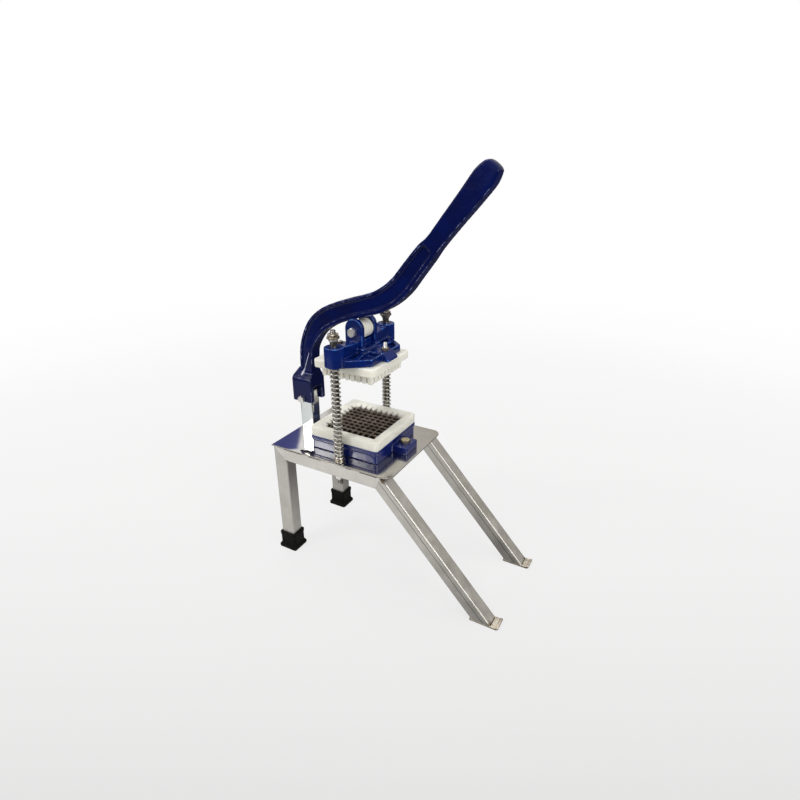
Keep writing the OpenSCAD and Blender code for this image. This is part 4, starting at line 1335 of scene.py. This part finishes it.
STUD_LOW, STUD_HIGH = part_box("pusher_studs")
STUD_NUT = 4 * MM
STUD_RADIUS = 3 * MM
stud_x = size("pusher_studs").x / 2 - STUD_RADIUS
rear_lug_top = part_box("pusher_nuts")[0].z
front_lug_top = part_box("pusher_nuts")[1].z - STUD_NUT
studs = []
for x, top in ((-stud_x, rear_lug_top + 4.5 * MM), (stud_x, STUD_HIGH.z)):
    stud = turned(thread_rows(STUD_RADIUS, STUD_THREAD, STUD_LOW.z, top))
    studs.append(moved(stud, Matrix.Translation((PRESS_X + x, 0, 0))))
add_piece("threaded_studs", joined(*studs), "head", ZINC_WHITE, "zinc", "pusher_studs")
fasteners(
    "stud_nuts", hexagon_piece(10 * MM, STUD_NUT, 2 * STUD_RADIUS),
    [(PRESS_X - stud_x, 0, rear_lug_top), (PRESS_X + stud_x, 0, front_lug_top)],
    "head", ZINC, "zinc", "pusher_nuts", seed=14,
)

ROLLER_BORE = 4.05 * MM
radius, half = size("roller").z / 2, size("roller").y / 2
end_rows = [(radius, 1.6 * MM - half), (radius - 0.4 * MM, 0.5 * MM - half)]
end_rows += [(radius - 1.6 * MM, -half), (ROLLER_BORE, -half)]
rows = end_rows[::-1] + [(reach, -height) for reach, height in end_rows]
roller = turned(rows, 64, close=True)
roller = moved(roller, Matrix.Translation(ROLLER) @ LAY_TO_LEFT)
add_piece("nylon_roller", roller, "roller", NYLON, "nylon", "roller")


def cross_bolt(name, body, flats, centre, bolt, nut):
    """A hexagon bolt lying along Y, its head on the left side and its nut on the right."""
    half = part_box(nut)[0].y
    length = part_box(bolt)[1].y + half
    rows = thread_rows(THREAD_RADIUS, BOLT_THREAD, -length, -length + 14 * MM)
    rows += [(THREAD_RADIUS, -length + 14.4 * MM), (THREAD_RADIUS, 0.5 * MM)]
    shape = joined(hexagon_piece(flats, -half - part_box(bolt)[0].y), turned(rows))
    moved(shape, Matrix.Translation((centre.x, -half, centre.z)) @ LAY_TO_LEFT)
    add_piece(name, shape, body, ZINC_WHITE, "zinc", bolt)
    shape = hexagon_piece(flats, size(nut).y, 2 * THREAD_RADIUS)
    moved(shape, Matrix.Translation((centre.x, half, centre.z)) @ LAY_TO_RIGHT)
    add_piece(name + "_nut", shape, body, ZINC_WHITE, "zinc", nut)


cross_bolt("roller_bolt", "head", 12.5 * MM, ROLLER, "roller_pin", "roller_nut")
cross_bolt("fork_bolt", "lever", 11 * MM, PIVOT, "pivot_bolt", "pivot_nut")

# ---------------------------------------------------------------- floor, world and lamps

bpy.context.scene.view_settings.view_transform = "Standard"

FLOOR_SIZE = 60.0
# The paper's own light: it darkens along PAPER_RUN towards PAPER_EDGE, and is white far away
PAPER_RUN = (-0.487, 0.8734, 0.0)
PAPER_EDGE = -0.7305
PAPER_SHADE = 0.077
PAPER_NEAREST = 0.35
PAPER_WHITE = (0.95, 2.4)
# What mirrors see of it: bright round one spot, dark away from it
LIT_SPOT = (-0.32, -0.5, 0.0)
LIT_REACH = (0.32, 0.8)


def floor_material():
    """Pale paper that keeps the shadow where it is seen, and white at the back and far away."""
    net = material_net("pale_floor")
    path = net.add("ShaderNodeLightPath").outputs
    place = net.place()
    ahead = net.math("SUBTRACT", net.vector("DOT_PRODUCT", place, PAPER_RUN), PAPER_EDGE)
    shade = net.math("DIVIDE", PAPER_SHADE, net.math("MAXIMUM", ahead, PAPER_NEAREST))
    distance = net.vector("LENGTH", place)
    still_shaded = net.ease(distance, *PAPER_WHITE, 1.0, 0.0)
    white = net.math("SUBTRACT", 1.0, net.math("MULTIPLY", shade, still_shaded))
    lit = net.range(net.vector("DISTANCE", place, LIT_SPOT), *LIT_REACH, 0.95, 0.07)
    tone = net.first("ShaderNodeMix", {"Factor": path["Is Camera Ray"], "A": lit, "B": white})
    grey = net.first("ShaderNodeCombineColor", {0: tone, 1: tone, 2: tone})
    glow = net.first("ShaderNodeEmission", {"Color": grey, "Strength": 1.0})
    paper = net.first("ShaderNodeBsdfDiffuse", {"Color": (0.62, 0.62, 0.61)})
    mirrored = net.math("MAXIMUM", path["Is Glossy Ray"], path["Is Transmission Ray"])
    own_light = net.range(distance, 0.5, 1.5, 0.86, 1.0)
    seen = net.math("MULTIPLY", path["Is Camera Ray"], own_light)
    share = net.math("MAXIMUM", seen, mirrored)
    mixed = net.first("ShaderNodeMixShader", {0: share, 1: paper, 2: glow})
    net.add("ShaderNodeOutputMaterial", {"Surface": mixed})
    return net.material


corners = [(sx * FLOOR_SIZE, sy * FLOOR_SIZE, 0) for sx, sy in ((-1, -1), (1, -1), (1, 1), (-1, 1))]
floor_mesh = bpy.data.meshes.new("floor")
floor_mesh.from_pydata(corners, [], [(0, 1, 2, 3)])
floor_mesh.materials.append(floor_material())
new_object("floor", floor_mesh)

SCREEN_AT = Vector((-0.786, 0.491, 0.375)).normalized()


def facing(net, direction, inner, outer):
    """1 near the screen's direction, fading to 0 away from it; the angles are in degrees."""
    near = net.vector("DOT_PRODUCT", direction, SCREEN_AT)
    return net.ease(near, math.cos(math.radians(outer)), math.cos(math.radians(inner)))


def build_world():
    """White for the camera; for light and mirrors a grey room with a blue screen at its back left."""
    world = bpy.data.worlds.new("studio")
    bpy.context.scene.world = world
    world.use_nodes = True
    world.node_tree.nodes.clear()
    net = Net(world.node_tree)
    direction = net.add("ShaderNodeTexCoord").outputs["Generated"]
    split = net.split(direction)
    right = net.range(split["X"], -0.7, 0.7)
    wall = net.mix(right, (0.56, 0.52, 0.47), (0.52, 0.505, 0.48))
    room = net.mix(net.range(split["Z"], 0.35, 0.9), wall, (0.74, 0.74, 0.73))
    framed = net.mix(facing(net, direction, 18.6, 19.4), room, (0.97, 0.97, 0.98))
    hung = net.mix(facing(net, direction, 16.1, 16.5), framed, (0.09, 0.1, 0.3))
    plain = net.first("ShaderNodeBackground", {"Color": hung, "Strength": 1.0})
    white = net.first("ShaderNodeBackground", {"Color": (1, 1, 1), "Strength": 1.0})
    seen = net.add("ShaderNodeLightPath").outputs["Is Camera Ray"]
    mixed = net.first("ShaderNodeMixShader", {0: seen, 1: plain, 2: white})
    net.add("ShaderNodeOutputWorld", {"Surface": mixed})


build_world()

LOOK_AT = Vector((0.0, 0.0, 0.25))
for name, place, width, power in (
    ("left_window", (-1.305, -1.6, 1.265), 0.4, 6.5),
    ("left_fill", (-0.75, -1.1, 1.95), 0.35, 13),
    ("front_right", (1.9, -0.6, 1.3), 1.2, 22),
    ("overhead", (-0.45, 0.35, 2.1), 0.5, 10),
):
    lamp_data = bpy.data.lights.new(name, "AREA")
    lamp_data.shape = "SQUARE"
    lamp_data.size = width
    lamp_data.energy = power
    lamp = new_object(name, lamp_data)
    lamp.location = place
    lamp.rotation_euler = (LOOK_AT - Vector(place)).to_track_quat("-Z", "Y").to_euler()
